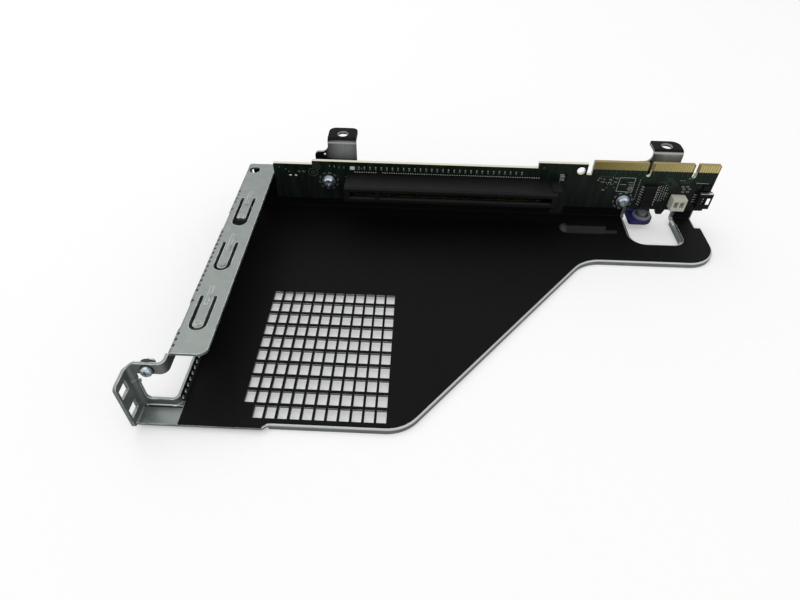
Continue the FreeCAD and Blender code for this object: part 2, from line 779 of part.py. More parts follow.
def cage_sheet():
    """The whole cage, folded from one sheet."""
    corner_gap = block(SHEET, WALL_LEFT, WALL_FRONT - BEND_OUT, PLATE_BACK, -SHEET, 0)
    pieces = [plate().cut(corner_gap), upright_ribbon(), back_wall(WALL_FRONT, PLATE_BACK)]
    pieces += [tab_flange(tab, tab.top - SHEET, tab.top, 0) for tab in TABS]
    rounded = []
    for start, end, outer_start, outer_end, side_a, side_b in fold_lines():
        pieces.append(corner_strip(start, end, side_a, side_b, BEND_IN))
        rounded.append(corner_strip(outer_start, outer_end, side_a, side_b, BEND_OUT))
    rounded.append(corner_strip(Vector(0, RAIL_FRONT, RAIL_TOP), Vector(0, RAIL_END, RAIL_TOP),
                                RIGHT, DOWN, BEND_OUT))
    body = fuse(pieces + [dome(form, 0, -SHEET / 2) for form in (BEAD, BEAD_STEP)])
    hollow = dome(BEAD, -SHEET, -2 * SHEET)
    body = body.cut(rounded + flange_corner_cutters() + wall_cuts() + [hollow])
    grip_back = panel([
        (GRIP_LEFT, -2 * RIM_DEPTH),
        (GRIP_RIGHT, -2 * RIM_DEPTH),
        (GRIP_RIGHT, GRIP_WALL_HEIGHT, WINDOW_R),
        (GRIP_LEFT, GRIP_WALL_HEIGHT, WINDOW_R),
    ], WALL_FRONT - BEND_OUT, PLATE_BACK + SHEET)
    holes = [rod(STANDOFF_R - HOLE_CLEARANCE, Vector(x, WALL_FRONT - SHEET, z),
                 Vector(x, PLATE_BACK + SHEET, z)) for x, z in SCREW_POINTS]
    body = body.cut([grip_back, shoulder_hole()] + holes)
    body = body.cut(vent_holes(-2 * SHEET, SHEET))
    return body.cut(perforations())


def film_sheet():
    """Black film on the plate, folded up the back wall and over the two tabs."""
    film_back = WALL_FRONT - BEND_IN
    ground = inset_face(plate_corners(), FILM_INSET).extrude(Vector(0, 0, FILM))
    ground = ground.common(block(FILM_LEFT, RIM_RIGHT, PLATE_FRONT, film_back, 0, FILM))
    strip = block(FILM_LEFT, RIM_START - RIM_STEP, PLATE_FRONT, 0, 0, FILM)
    ground = fuse([ground, strip]).cut(slab(grip_corners(GRIP_BEND), -SHEET, 2 * SHEET))
    fold_plan = [
        (film_back, 0),
        (WALL_FRONT, 0, BEND_IN),
        (WALL_FRONT, BEND_OUT),
        (WALL_FRONT - FILM, BEND_OUT),
        (WALL_FRONT - FILM, FILM, BEND_IN - FILM),
        (film_back, FILM),
    ]
    fold = side_panel(fold_plan, WALL_LEFT, ARM_RIGHT - FILM_INSET)
    upright = back_wall(WALL_FRONT - FILM, WALL_FRONT)
    beyond_folds = [block(tab.left - SHEET, tab.left + TAB_WIDTH + SHEET, WALL_FRONT - SHEET,
                          WALL_FRONT + SHEET, tab.top - BEND_OUT, tab.top + SHEET)
                    for tab in TABS]
    upright = upright.common(block(WALL_LEFT, ARM_RIGHT - FILM_INSET, WALL_FRONT - FILM, WALL_FRONT,
                                   BEND_OUT, FOLDS_TOP)).cut(beyond_folds)
    pieces = [ground, fold, upright]
    for tab in TABS:
        right = tab.left + TAB_WIDTH
        over = [
            (WALL_FRONT - FILM, tab.top - BEND_OUT),
            (WALL_FRONT - FILM, tab.top + FILM, BEND_OUT + FILM),
            (WALL_FRONT + BEND_OUT, tab.top + FILM),
            (WALL_FRONT + BEND_OUT, tab.top),
            (WALL_FRONT, tab.top, BEND_OUT),
            (WALL_FRONT, tab.top - BEND_OUT),
        ]
        pieces.append(side_panel(over, tab.left, right))
        flange = tab_flange(tab, tab.top, tab.top + FILM, HOLE_CLEARANCE)
        pieces.append(flange.common(block(tab.left, right, WALL_FRONT + BEND_OUT, TAB_BACK,
                                          tab.top, tab.top + FILM)))
    pieces += [dome(form, FILM, 0) for form in (BEAD, BEAD_STEP)]
    body = fuse(pieces).cut([dome(form, 0, -SHEET) for form in (BEAD, BEAD_STEP)])
    grip_back = panel([
        (GRIP_LEFT - GRIP_BEND, -RIM_DEPTH),
        (GRIP_RIGHT + GRIP_BEND, -RIM_DEPTH),
        (GRIP_RIGHT + GRIP_BEND, GRIP_WALL_HEIGHT + FILM_INSET, WINDOW_R),
        (GRIP_LEFT - GRIP_BEND, GRIP_WALL_HEIGHT + FILM_INSET, WINDOW_R),
    ], film_back - SHEET, WALL_FRONT + SHEET)
    holes = [rod(STANDOFF_R + HOLE_CLEARANCE, Vector(x, WALL_FRONT - SHEET, z),
                 Vector(x, WALL_FRONT + SHEET, z)) for x, z in SCREW_POINTS]
    return body.cut([grip_back, shoulder_hole()] + holes + vent_holes(-SHEET, SHEET))


def board_corners():
    """Outline of the riser board in x and z, with its key notches and foot."""
    half_key = KEY_WIDTH / 2
    corners = [
        (BOARD_LEFT, BOARD_BOTTOM, BOARD_CORNER_R),
        (FOOT_X - FOOT_WIDTH / 2, BOARD_BOTTOM),
        (FOOT_X - FOOT_TIP / 2, BOARD_BOTTOM - FOOT_DROP, FOOT_CORNER_R),
        (FOOT_X + FOOT_TIP / 2, BOARD_BOTTOM - FOOT_DROP, FOOT_CORNER_R),
        (FOOT_X + FOOT_WIDTH / 2, BOARD_BOTTOM),
        (BOARD_RIGHT, BOARD_BOTTOM, BOARD_CORNER_R),
        (BOARD_RIGHT, GOLD_EDGE, GOLD_CORNER_R),
    ]
    for centre in reversed(KEY_CENTRES):
        corners += [
            (centre + half_key, GOLD_EDGE, KEY_CORNER_R),
            (centre + half_key, KEY_BOTTOM, half_key * ROUND_END),
            (centre - half_key, KEY_BOTTOM, half_key * ROUND_END),
            (centre - half_key, GOLD_EDGE, KEY_CORNER_R),
        ]
    corners += [
        (GOLD_START, GOLD_EDGE, GOLD_CORNER_R),
        (GOLD_START, KEY_BOTTOM, BOARD_CORNER_R),
        (RAISED_END, KEY_BOTTOM, BOARD_CORNER_R),
        (RAISED_END, RAISED_EDGE),
        (RAISED_START, RAISED_EDGE),
        (RAISED_START, MAIN_EDGE),
        (MAIN_START, MAIN_EDGE),
        (MAIN_START, LOW_EDGE),
        (BOARD_LEFT, LOW_EDGE, BOARD_CORNER_R),
    ]
    return corners


def riser_board():
    body = panel(board_corners(), BOARD_FRONT, BOARD_BACK)
    holes = [rod(SCREW_R + HOLE_CLEARANCE, Vector(x, BOARD_FRONT - SHEET, z),
                 Vector(x, BOARD_BACK + SHEET, z)) for x, z in SCREW_POINTS]
    holes.append(rod(BOARD_HOLE_R, Vector(BOARD_HOLE_X, BOARD_FRONT - SHEET, BOARD_HOLE_Z),
                     Vector(BOARD_HOLE_X, BOARD_BACK + SHEET, BOARD_HOLE_Z)))
    return body.cut(holes)


def edge_contacts():
    """Gold fingers on both faces of the board's top edge, at the contact pitch."""
    spans = []
    start = GOLD_START
    for centre in KEY_CENTRES:
        spans.append((start, centre - KEY_WIDTH / 2))
        start = centre + KEY_WIDTH / 2
    spans.append((start, BOARD_RIGHT))
    fingers = []
    top = GOLD_EDGE - CONTACT_EDGE_GAP
    for low, high in spans:
        count = int((high - low - CONTACT_WIDTH) / CONTACT_PITCH)
        first = (low + high - (count - 1) * CONTACT_PITCH) / 2
        for number in range(count):
            x = first + number * CONTACT_PITCH - CONTACT_WIDTH / 2
            for y in (BOARD_FRONT - CONTACT_THICKNESS, BOARD_BACK):
                fingers.append(block(x, x + CONTACT_WIDTH, y, y + CONTACT_THICKNESS,
                                     top - CONTACT_HEIGHT, top))
    return fingers


def board_standoffs():
    posts = []
    for x, z in SCREW_POINTS:
        post = rod(STANDOFF_R, Vector(x, BOARD_BACK, z), Vector(x, WALL_FRONT, z))
        barb = rod(STANDOFF_R - HOLE_CLEARANCE, Vector(x, WALL_FRONT, z), Vector(x, PLATE_BACK, z))
        bore = rod(SCREW_R + THREAD_CLEARANCE, Vector(x, BOARD_BACK - SHEET, z),
                   Vector(x, PLATE_BACK + SHEET, z))
        posts.append(fuse([post, barb]).cut(bore))
    return posts


def board_washers():
    washers = []
    for x, z in SCREW_POINTS:
        front = Vector(x, BOARD_FRONT - WASHER_THICKNESS, z)
        disc = rod(WASHER_R, front, Vector(x, BOARD_FRONT, z))
        bore = rod(SCREW_R + HOLE_CLEARANCE, front + FORWARD, Vector(x, BOARD_FRONT + SHEET, z))
        washers.append(disc.cut(bore))
    return washers


def cross_recess(x, front, z):
    """Cutters for a cross recess in a screw head whose front face is at front."""
    arm = RECESS_REACH
    half = RECESS_HALF_WIDTH
    back = front + RECESS_DEPTH
    return [
        block(x - arm, x + arm, front - SHEET, back, z - half, z + half),
        block(x - half, x + half, front - SHEET, back, z - arm, z + arm),
    ]


def board_screws():
    """Pan head screws with a cross recess."""
    screws = []
    for x, z in SCREW_POINTS:
        seat = BOARD_FRONT - WASHER_THICKNESS
        front = seat - SCREW_HEAD_HEIGHT
        head = rod(SCREW_HEAD_R, Vector(x, seat, z), Vector(x, front, z))
        front_edges = [e for e in head.Edges if e.BoundBox.YMax < front + 1e-3]
        head = head.makeChamfer(SCREW_HEAD_CHAMFER, front_edges)
        shank = rod(SCREW_R, Vector(x, seat, z), Vector(x, WALL_FRONT, z))
        screws.append(fuse([head, shank]).cut(cross_recess(x, front, z)))
    return screws


def slot_housing():
    """Card slot with its keyed groove and the card support ear at its right end."""
    right = SLOT_LEFT + SLOT_LENGTH
    front = BOARD_FRONT - SLOT_DEPTH
    top = SLOT_BOTTOM + SLOT_HEIGHT
    body = block(SLOT_LEFT, right, front, BOARD_FRONT, SLOT_BOTTOM, top)
    edges = [e for e in body.Edges if e.BoundBox.YMax < front + 1e-3 and e.BoundBox.XLength > 1]
    body = body.makeChamfer(SLOT_CHAMFER, edges)
    ear_right = right + SLOT_EAR_LENGTH
    ear_top = SLOT_EAR_BOTTOM + SLOT_EAR_HEIGHT
    ear = panel([
        (right - SLOT_EAR_OVERLAP, SLOT_EAR_BOTTOM, SLOT_EAR_R),
        (ear_right, SLOT_EAR_BOTTOM, SLOT_EAR_R),
        (ear_right, ear_top - SLOT_EAR_CUT, SLOT_EAR_R),
        (ear_right - SLOT_EAR_CUT, ear_top, SLOT_EAR_R),
        (right - SLOT_EAR_OVERLAP, ear_top),
    ], BOARD_FRONT - SLOT_EAR_DEPTH, BOARD_FRONT)
    body = fuse([body, ear])
    low = SLOT_MIDDLE - GROOVE_HEIGHT / 2
    high = SLOT_MIDDLE + GROOVE_HEIGHT / 2
    key = SLOT_LEFT + SLOT_KEY_FROM_LEFT
    half_key = SLOT_KEY_WIDTH / 2
    back = front + GROOVE_DEPTH
    grooves = [
        block(SLOT_LEFT + GROOVE_END, key - half_key, front - 1, back, low, high),
        block(key + half_key, right - GROOVE_END, front - 1, back, low, high),
    ]
    for z, away in ((low, DOWN), (high, UP)):
        for x0, x1 in ((SLOT_LEFT + GROOVE_END, key - half_key),
                       (key + half_key, right - GROOVE_END)):
            edges = [Vector(x0, front, z), Vector(x0, front, z) + away * GROOVE_MOUTH,
                     Vector(x0, front + GROOVE_MOUTH, z), Vector(x0, front, z)]
            wedge = Part.Face(Part.makePolygon(edges)).extrude(Vector(x1 - x0, 0, 0))
            grooves.append(wedge)
    pocket_depth = SLOT_PIN_THICKNESS + SLOT_POCKET_CLEARANCE
    pocket_front = front + SLOT_POCKET_SETBACK
    for x0, x1 in ((SLOT_LEFT + GROOVE_END, key - half_key),
                   (key + half_key, right - GROOVE_END)):
        grooves.append(block(x0, x1, pocket_front, back, low - pocket_depth, low))
        grooves.append(block(x0, x1, pocket_front, back, high, high + pocket_depth))
    return body.cut(grooves)


def slot_contacts():
    """Spring contacts in two rows along the groove, clear of the key."""
    key = SLOT_LEFT + SLOT_KEY_FROM_LEFT
    back = BOARD_FRONT - SLOT_DEPTH + GROOVE_DEPTH
    front = BOARD_FRONT - SLOT_DEPTH + SLOT_PIN_SETBACK
    low = SLOT_MIDDLE - GROOVE_HEIGHT / 2
    high = SLOT_MIDDLE + GROOVE_HEIGHT / 2
    count = round((SLOT_LENGTH - SLOT_PIN_FIRST - SLOT_PIN_LAST) / CONTACT_PITCH) + 1
    blades = []
    for number in range(count):
        x = SLOT_LEFT + SLOT_PIN_FIRST + number * CONTACT_PITCH
        if abs(x - key) < SLOT_KEY_WIDTH / 2 + SLOT_PIN_WIDTH:
            continue
        x0 = x - SLOT_PIN_WIDTH / 2
        x1 = x + SLOT_PIN_WIDTH / 2
        blades.append(block(x0, x1, front, back, low - SLOT_PIN_THICKNESS, low))
        blades.append(block(x0, x1, front, back, high, high + SLOT_PIN_THICKNESS))
    return blades


def header_pockets():
    """Left and right side of each of the header's two pockets."""
    middle = HEADER_LEFT + HEADER_WIDTH / 2
    return [
        (HEADER_LEFT + HEADER_WALL, middle - HEADER_WEB / 2),
        (middle + HEADER_WEB / 2, HEADER_LEFT + HEADER_WIDTH - HEADER_WALL),
    ]


def header_body():
    """Power header with two pockets, open to the front."""
    front = BOARD_FRONT - HEADER_DEPTH
    top = HEADER_BOTTOM + HEADER_HEIGHT
    body = block(HEADER_LEFT, HEADER_LEFT + HEADER_WIDTH, front, BOARD_FRONT, HEADER_BOTTOM, top)
    return body.cut([block(x0, x1, front - SHEET, BOARD_FRONT - HEADER_WALL,
                           HEADER_BOTTOM + HEADER_SILL, top - HEADER_LINTEL)
                     for x0, x1 in header_pockets()])


def header_pins():
    """Two pins in each pocket of the header, one above the other."""
    middle_z = HEADER_BOTTOM + (HEADER_SILL + HEADER_HEIGHT - HEADER_LINTEL) / 2
    half = HEADER_PIN / 2
    pins = []
    for x0, x1 in header_pockets():
        x = (x0 + x1) / 2
        for side in (-0.5, 0.5):
            z = middle_z + side * HEADER_PIN_PITCH
            pins.append(block(x - half, x + half, BOARD_FRONT - HEADER_DEPTH + HEADER_WALL,
                              BOARD_FRONT - HEADER_WALL, z - half, z + half))
    return pins


def side_shell():
    """Shroud of the side connector, open to the right, with a window in its front."""
    front = BOARD_FRONT - SIDE_DEPTH
    right = SIDE_LEFT + SIDE_WIDTH
    top = SIDE_BOTTOM + SIDE_HEIGHT
    body = block(SIDE_LEFT, right, front, BOARD_FRONT, SIDE_BOTTOM, top)
    cavity = block(SIDE_LEFT + SIDE_WALL, right + SHEET, front + SIDE_WALL, BOARD_FRONT + SHEET,
                   SIDE_BOTTOM + SIDE_WALL, top - SIDE_WALL)
    window = block(SIDE_LEFT + SIDE_WINDOW_LEFT, right - SIDE_WALL, front - SHEET,
                   front + 2 * SIDE_WALL, SIDE_BOTTOM + SIDE_WINDOW_LOW, top - SIDE_WINDOW_HIGH)
    return body.cut([cavity, window])


def side_cover():
    """Metal strip along the top of the side connector."""
    top = SIDE_BOTTOM + SIDE_HEIGHT
    return block(SIDE_LEFT, SIDE_LEFT + SIDE_WIDTH, BOARD_FRONT - SIDE_DEPTH,
                 BOARD_FRONT - SIDE_DEPTH / 2, top, top + SIDE_COVER_THICKNESS)


def side_tongue():
    """Tongue on the left wall inside the side connector."""
    left = SIDE_LEFT + SIDE_WALL
    front = BOARD_FRONT - SIDE_DEPTH + SIDE_TONGUE_SETBACK
    return block(left, left + SIDE_TONGUE_LENGTH, front, front + SIDE_TONGUE_THICKNESS,
                 SIDE_BOTTOM + SIDE_TONGUE_INSET, SIDE_BOTTOM + SIDE_HEIGHT - SIDE_TONGUE_INSET)


def side_contacts():
    """Contacts on the tongue, and the leads that join them to the board at the left."""
    left = SIDE_LEFT + SIDE_WALL
    seat = BOARD_FRONT - SIDE_DEPTH + SIDE_TONGUE_SETBACK
    half = SIDE_PIN_WIDTH / 2
    blades = []
    for number in range(SIDE_PIN_COUNT):
        z = SIDE_BOTTOM + SIDE_PIN_FIRST + number * SIDE_PIN_PITCH
        blades.append(block(left, left + SIDE_TONGUE_LENGTH, seat - SIDE_PIN_THICKNESS, seat,
                            z - half, z + half))
        blades.append(block(SIDE_LEFT - SIDE_LEAD, SIDE_LEFT, BOARD_FRONT - SIDE_PIN_THICKNESS,
                            BOARD_FRONT, z - half, z + half))
    return blades


def logic_chip():
    front = BOARD_FRONT - CHIP_HEIGHT - LEAD_THICKNESS
    body = block(CHIP_LEFT, CHIP_LEFT + CHIP_WIDTH, front, BOARD_FRONT - LEAD_THICKNESS,
                 CHIP_BOTTOM, CHIP_BOTTOM + CHIP_LENGTH)
    return body.makeChamfer(CHIP_CHAMFER, [e for e in body.Edges if e.BoundBox.YMax < front + 1e-3])


def logic_chip_leads():
    """Gull wing leads down both long sides of the chip."""
    leads = []
    first = CHIP_BOTTOM + (CHIP_LENGTH - (LEAD_COUNT - 1) * LEAD_PITCH) / 2
    rise = BOARD_FRONT - LEAD_RISE
    for number in range(LEAD_COUNT):
        z = first + number * LEAD_PITCH
        for edge, way in ((CHIP_LEFT, -1), (CHIP_LEFT + CHIP_WIDTH, 1)):
            bend = edge + way * LEAD_REACH * 0.5
            tip = edge + way * LEAD_REACH
            knee = bend - way * LEAD_THICKNESS
            points = [
                Vector(edge, rise, 0),
                Vector(bend, rise, 0),
                Vector(bend, BOARD_FRONT - LEAD_THICKNESS, 0),
                Vector(tip, BOARD_FRONT - LEAD_THICKNESS, 0),
                Vector(tip, BOARD_FRONT, 0),
                Vector(knee, BOARD_FRONT, 0),
                Vector(knee, rise + LEAD_THICKNESS, 0),
                Vector(edge, rise + LEAD_THICKNESS, 0),
                Vector(edge, rise, 0),
            ]
            lead = Part.Face(Part.makePolygon(points)).extrude(Vector(0, 0, LEAD_WIDTH))
            lead.translate(Vector(0, 0, z - LEAD_WIDTH / 2))
            leads.append(lead)
    return leads


def chip(place, size, thickness=PART_HEIGHT):
    """Small board part, centred at a place in x and z."""
    x, z = place
    width, height = size
    return block(x - width / 2, x + width / 2, BOARD_FRONT - thickness, BOARD_FRONT,
                 z - height / 2, z + height / 2)


def coupling_capacitors():
    return [chip((COUPLING_FIRST + n * COUPLING_PITCH, COUPLING_Z), COUPLING_SIZE)
            for n in range(COUPLING_COUNT)]


def small_capacitors():
    """Pale parts beside the header, at the left of the right screw and at the board's left end."""
    parts = [chip(place, CAPACITOR_SIZE) for place in CAPACITOR_PLACES]
    parts.append(chip(TALL_CAPACITOR_PLACE, TALL_CAPACITOR_SIZE, TALL_CAPACITOR_HEIGHT))
    return parts


def small_resistors():
    return [chip(place, RESISTOR_SIZE, RESISTOR_HEIGHT) for place in RESISTOR_PLACES]


def regulators():
    """Three small black packages."""
    return [chip(place, size, REGULATOR_HEIGHT)
            for place, size in zip(REGULATOR_PLACES, REGULATOR_SIZES)]


def status_lamp():
    """Pale lamp beside the slot's first contacts."""
    return chip(LAMP_PLACE, LAMP_SIZE, LAMP_HEIGHT)


def touch_point():
    """Moulded finger tab under the board, with a leg up the outside of the back wall."""
    right = TOUCH_LEFT + TOUCH_WIDTH
    leg_back = PLATE_BACK + TOUCH_LEG
    tab = slab([
        (TOUCH_LEFT, TOUCH_FRONT, TOUCH_CORNER_R),
        (right, TOUCH_FRONT, TOUCH_END_R),
        (right, leg_back),
        (TOUCH_LEFT, leg_back),
    ], TOUCH_BOTTOM, TOUCH_BOTTOM + TOUCH_THICKNESS)
    leg = panel([
        (TOUCH_LEFT, TOUCH_BOTTOM),
        (right, TOUCH_BOTTOM),
        (right, TOUCH_LEG_TOP, TOUCH_CORNER_R),
        (TOUCH_LEFT, TOUCH_LEG_TOP, TOUCH_CORNER_R),
    ], PLATE_BACK, leg_back)
    fillet = corner_strip(Vector(TOUCH_LEFT, PLATE_BACK, TOUCH_BOTTOM + TOUCH_THICKNESS),
                          Vector(right, PLATE_BACK, TOUCH_BOTTOM + TOUCH_THICKNESS),
                          FORWARD, UP, TOUCH_CORNER_R)
    seat = rod(COLLAR_R, Vector(COLLAR_X, COLLAR_Y, TOUCH_BOTTOM - SHEET),
               Vector(COLLAR_X, COLLAR_Y, TOUCH_BOTTOM + COLLAR_HEIGHT + SHEET))
    return fuse([tab, leg, fillet]).cut(seat)


def touch_collar():
    """Bush in the touch point, with a ring-shaped recess round a post."""
    foot = Vector(COLLAR_X, COLLAR_Y, TOUCH_BOTTOM)
    head = foot + UP * COLLAR_HEIGHT
    ring = rod(COLLAR_R, foot, head)
    ring = ring.makeChamfer(COLLAR_CHAMFER, [e for e in ring.Edges if e.BoundBox.ZMin > head.z - 1e-3])
    ring = ring.cut(rod(COLLAR_BORE_R, head - UP * COLLAR_BORE_DEPTH, head + UP))
    return fuse([ring, rod(COLLAR_POST_R, foot, foot + UP * COLLAR_POST_HEIGHT)])


def card_screw():
    """Screw that holds the card's bracket to the hook wall, with a cross recess."""
    x = CARD_SCREW_X
    z = CARD_SCREW_Z
    seat = -CARD_RIM_THICKNESS
    front = seat - CARD_HEAD_HEIGHT
    head = rod(CARD_HEAD_R, Vector(x, seat, z), Vector(x, front, z))
    edges = [e for e in head.Edges if e.BoundBox.YMax < front + 1e-3]
    head = head.makeChamfer(CARD_HEAD_CHAMFER, edges)
    shank = rod(CARD_SCREW_R, Vector(x, seat, z), Vector(x, 2 * SHEET + CARD_NUT_LENGTH, z))
    return fuse([head, shank]).cut(cross_recess(x, front, z))


def card_nut():
    """Nut clinched in the hook wall: flange and barrel behind it, and a thin rim in front."""
    start = Vector(CARD_SCREW_X, SHEET, CARD_SCREW_Z)
    wall_front = Vector(CARD_SCREW_X, 0, CARD_SCREW_Z)
    rim_front = wall_front + FORWARD * CARD_RIM_THICKNESS
    flange = rod(CARD_NUT_R, start, start + BACK * CARD_NUT_THICKNESS)
    barrel = rod(CARD_NUT_BARREL_R, start, start + BACK * CARD_NUT_LENGTH)
    sleeve = rod(CARD_SLEEVE_R, rim_front, start + BACK * CARD_NUT_THICKNESS)
    rim = rod(CARD_RIM_R, rim_front, wall_front)
    bore = rod(CARD_SCREW_R + THREAD_CLEARANCE, rim_front + FORWARD,
               start + BACK * (CARD_NUT_LENGTH + SHEET))
    return fuse([flange, barrel, sleeve, rim]).cut(bore)


def pieces():
    """Every node of the part, by name."""
    return {
        "cage_sheet": cage_sheet(),
        "insulator_film": film_sheet(),
        "riser_board": riser_board(),
        "edge_contacts": edge_contacts(),
        "board_standoffs": board_standoffs(),
        "board_washers": board_washers(),
        "board_screws": board_screws(),
        "slot_housing": slot_housing(),
        "slot_contacts": slot_contacts(),
        "coupling_capacitors": coupling_capacitors(),
        "small_capacitors": small_capacitors(),
        "small_resistors": small_resistors(),
        "regulators": regulators(),
        "status_lamp": status_lamp(),
        "logic_chip": logic_chip(),
        "logic_chip_leads": logic_chip_leads(),
        "header_body": header_body(),
        "header_pins": header_pins(),
        "side_shell": side_shell(),
        "side_cover": side_cover(),
        "side_tongue": side_tongue(),
        "side_contacts": side_contacts(),
        "touch_point": touch_point(),
        "touch_collar": touch_collar(),
        "card_screw": card_screw(),
        "card_nut": card_nut(),
    }


def main():
    os.makedirs("parts", exist_ok=True)
    middle_x = (RIM_RIGHT - HOOK_REACH) / 2
    middle_y = (FLANGE_FRONT + TAB_BACK) / 2
    to_origin = Vector(-middle_x, -middle_y, RIM_DEPTH)
    print("origin shift", to_origin)
    for name, shape in pieces().items():
        if isinstance(shape, list):
            shape = Part.makeCompound(shape)
        shape.translate(to_origin)
        print(name, "solids", len(shape.Solids), "valid", shape.isValid(),
              "volume", round(shape.Volume, 1))
        shape.exportStep("parts/" + name + ".step")


main()
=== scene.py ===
"""Looks of the riser cage bracket: finishes, board print, solder, light and camera."""
import json
import math

import bmesh
import bpy
from mathutils import Matrix, Vector


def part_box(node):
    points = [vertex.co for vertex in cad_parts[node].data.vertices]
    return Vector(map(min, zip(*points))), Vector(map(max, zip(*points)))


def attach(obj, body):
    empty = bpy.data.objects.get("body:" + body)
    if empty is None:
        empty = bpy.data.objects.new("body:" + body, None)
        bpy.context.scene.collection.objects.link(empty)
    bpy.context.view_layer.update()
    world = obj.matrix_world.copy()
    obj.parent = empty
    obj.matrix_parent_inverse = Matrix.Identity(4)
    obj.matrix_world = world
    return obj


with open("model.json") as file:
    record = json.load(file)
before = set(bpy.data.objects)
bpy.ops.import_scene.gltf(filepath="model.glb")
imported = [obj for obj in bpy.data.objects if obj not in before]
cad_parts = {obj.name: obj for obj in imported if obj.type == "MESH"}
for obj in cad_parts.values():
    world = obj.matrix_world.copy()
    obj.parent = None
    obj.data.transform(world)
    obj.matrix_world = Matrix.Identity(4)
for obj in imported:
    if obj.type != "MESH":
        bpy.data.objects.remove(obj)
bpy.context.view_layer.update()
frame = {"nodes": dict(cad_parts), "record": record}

MM = 0.001
RECORD = frame["record"]
NODES = frame["nodes"]
scene = bpy.context.scene

# Camera, solved from the vent grid and the straight edges
CAMERA_AT = (-0.02103, -0.16329, 0.15805)
CAMERA_YAW = 1.79379
CAMERA_PITCH = 44.44385
CAMERA_ROLL = 0.94083
CAMERA_LENS = 25.5913
CAMERA_SENSOR = 36.0
CAMERA_NEAREST = 0.01

# Light: strengths for matt surfaces, for the camera and for gloss, and the lamps' places and sizes in m
WORLD_LEVEL = 0.66
WORLD_SEEN = 1.0
WORLD_IN_GLOSS = 0.82
KEY_WATTS = 3.4
KEY_AT = (-0.45, 0.30, 1.00)
KEY_SIZE = (1.3, 1.1)
FILL_WATTS = 1.2
FILL_AT = (0.75, -0.75, 0.65)
FILL_SIZE = (1.1, 0.9)
FLOOR_SIZE = 6.0
FLOOR_COLOUR = 0.30
FLOOR_COLOUR_SEEN = 0.82
FLOOR_GLOW_SEEN = 0.28
FLOOR_GLOW_IN_GLOSS = 0.20

# Places on the board are in mm from the cage's inner corner, as x along it and z above the plate
BOARD_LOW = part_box("riser_board")[0]
BOARD_LEFT = 12.9
BOARD_FOOT = 6.6
CORNER_X = BOARD_LOW.x - BOARD_LEFT * MM
CORNER_Z = BOARD_LOW.z - BOARD_FOOT * MM
BOARD_FRONT = 107.6
CORNER_Y = BOARD_LOW.y - BOARD_FRONT * MM
CORNER = Vector((CORNER_X, CORNER_Y, CORNER_Z))

# Zones of the board's front: bare gold, painted shade below and painted light to the right
GOLD_ZONE_Z = 28.25
GOLD_ZONE_X = 149.1
SHADED_ZONE_Z = 22.9
LIT_ZONE_X = 166.0
LIT_ZONE_SOFT = 16.0

# Stretch over which the contacts turn from painted shade to painted light
GOLD_SHADE_X = 150.0
GOLD_LIT_X = 200.0

# Where the touch point's blue gives way to painted shade on its front
TOUCH_SHADED_X = 178.0
TOUCH_SHADED_SOFT = 2.2

# Faces of the two tabs, which carry a painted sheen, and their fold, which carries a painted highlight
TAB_CENTRES = (43.4, 182.2)
TAB_HALF = 7.6
TAB_FOOT_Z = 25.5
TAB_FOLD_Z = 33.0

# Bead on the plate, in mm as x, y and z; its slopes carry a painted sheen and its left end a painted
# highlight
BEAD_ZONE = ((138.5, 167.0), (99.0, 107.5), (0.4, 4.0))
BEAD_LEFT_END = ((138.5, 142.0), (99.0, 107.5), (0.4, 4.0))

# Painted shade along the left wall's foot, a painted highlight on the fold of the hook's foot, and painted
# shade beside that fold
FOOT_STRIP = ((0.85, 3.6), (2.0, 103.0), (-1.4, 4.6))
HOOK_FOLD = ((-12.3, 1.6), (-0.20, 0.12), (-0.6, 0.7))
HOOK_FOLD_SHADE = ((-12.3, 1.6), (-0.80, -0.28), (-0.6, 0.3))

# Edge of the grip, where the sheet shows past the film; its fold and the film's edge there carry a painted
# highlight
GRIP_ZONE = ((166.0, 198.0), (92.0, 109.0), (-1.0, 1.0))
GRIP_FOLD = ((166.0, 198.0), (92.0, 96.6), (-0.8, 0.15))

# Painted highlight on the fold along the plate's outer edge, away from the vent grid
EDGE_FOLD_X = 30.0
EDGE_FOLD_Z = (-0.50, 0.20)
VENT_ZONE = ((20.0, 69.5), (-4.3, 57.0), (-3.0, 3.0))

# Painted shade round the holes along the rail's fold: the holes' own pitch along y, their place and half
# width across the fold, how wide the wave of the pitch is taken, and the stretches that have holes
RIM_FIRST = 8.0
RIM_PITCH = 2.5
RIM_AT_X = 1.15
RIM_ABOVE_Z = 19.0
RIM_HALF = 0.65
RIM_SOFT = 0.15
RIM_WAVE = (0.30, 0.55)
RIM_STRETCHES = ((7.0, 14.3), (26.8, 29.2), (31.8, 66.8), (79.2, 81.8), (84.2, 94.3))

# Colours of the zinc coat: plain, worn with a painted edge highlight, painted highlights on the folds, and
# painted shade
ZINC = ((0.205, 0.232, 0.220), (0.325, 0.355, 0.340))
ZINC_WORN_EDGE_HIGHLIGHT = (0.80, 0.82, 0.80)
ZINC_EDGE_FOLD_HIGHLIGHT = (0.60, 0.62, 0.60)
ZINC_GRIP_FOLD_HIGHLIGHT = (0.66, 0.67, 0.66)
ZINC_HOOK_FOLD_HIGHLIGHT = (1.0, 1.0, 1.0)
ZINC_SHADED = (0.020, 0.021, 0.023)

# Colours of the film: its black, the painted sheen on the tabs and the bead, and painted highlights on the
# bead's end, the folds and the grip's edge
FILM_BLACK = ((0.0034, 0.0032, 0.0034), (0.0058, 0.0054, 0.0056))
FILM_TAB_SHEEN = ((0.30, 0.315, 0.31), (0.46, 0.475, 0.465))
FILM_BEAD_SHEEN = (0.022, 0.023, 0.024)
FILM_BEAD_SHEEN_END = (0.115, 0.115, 0.115)
FILM_EDGE_HIGHLIGHT = (0.62, 0.63, 0.62)
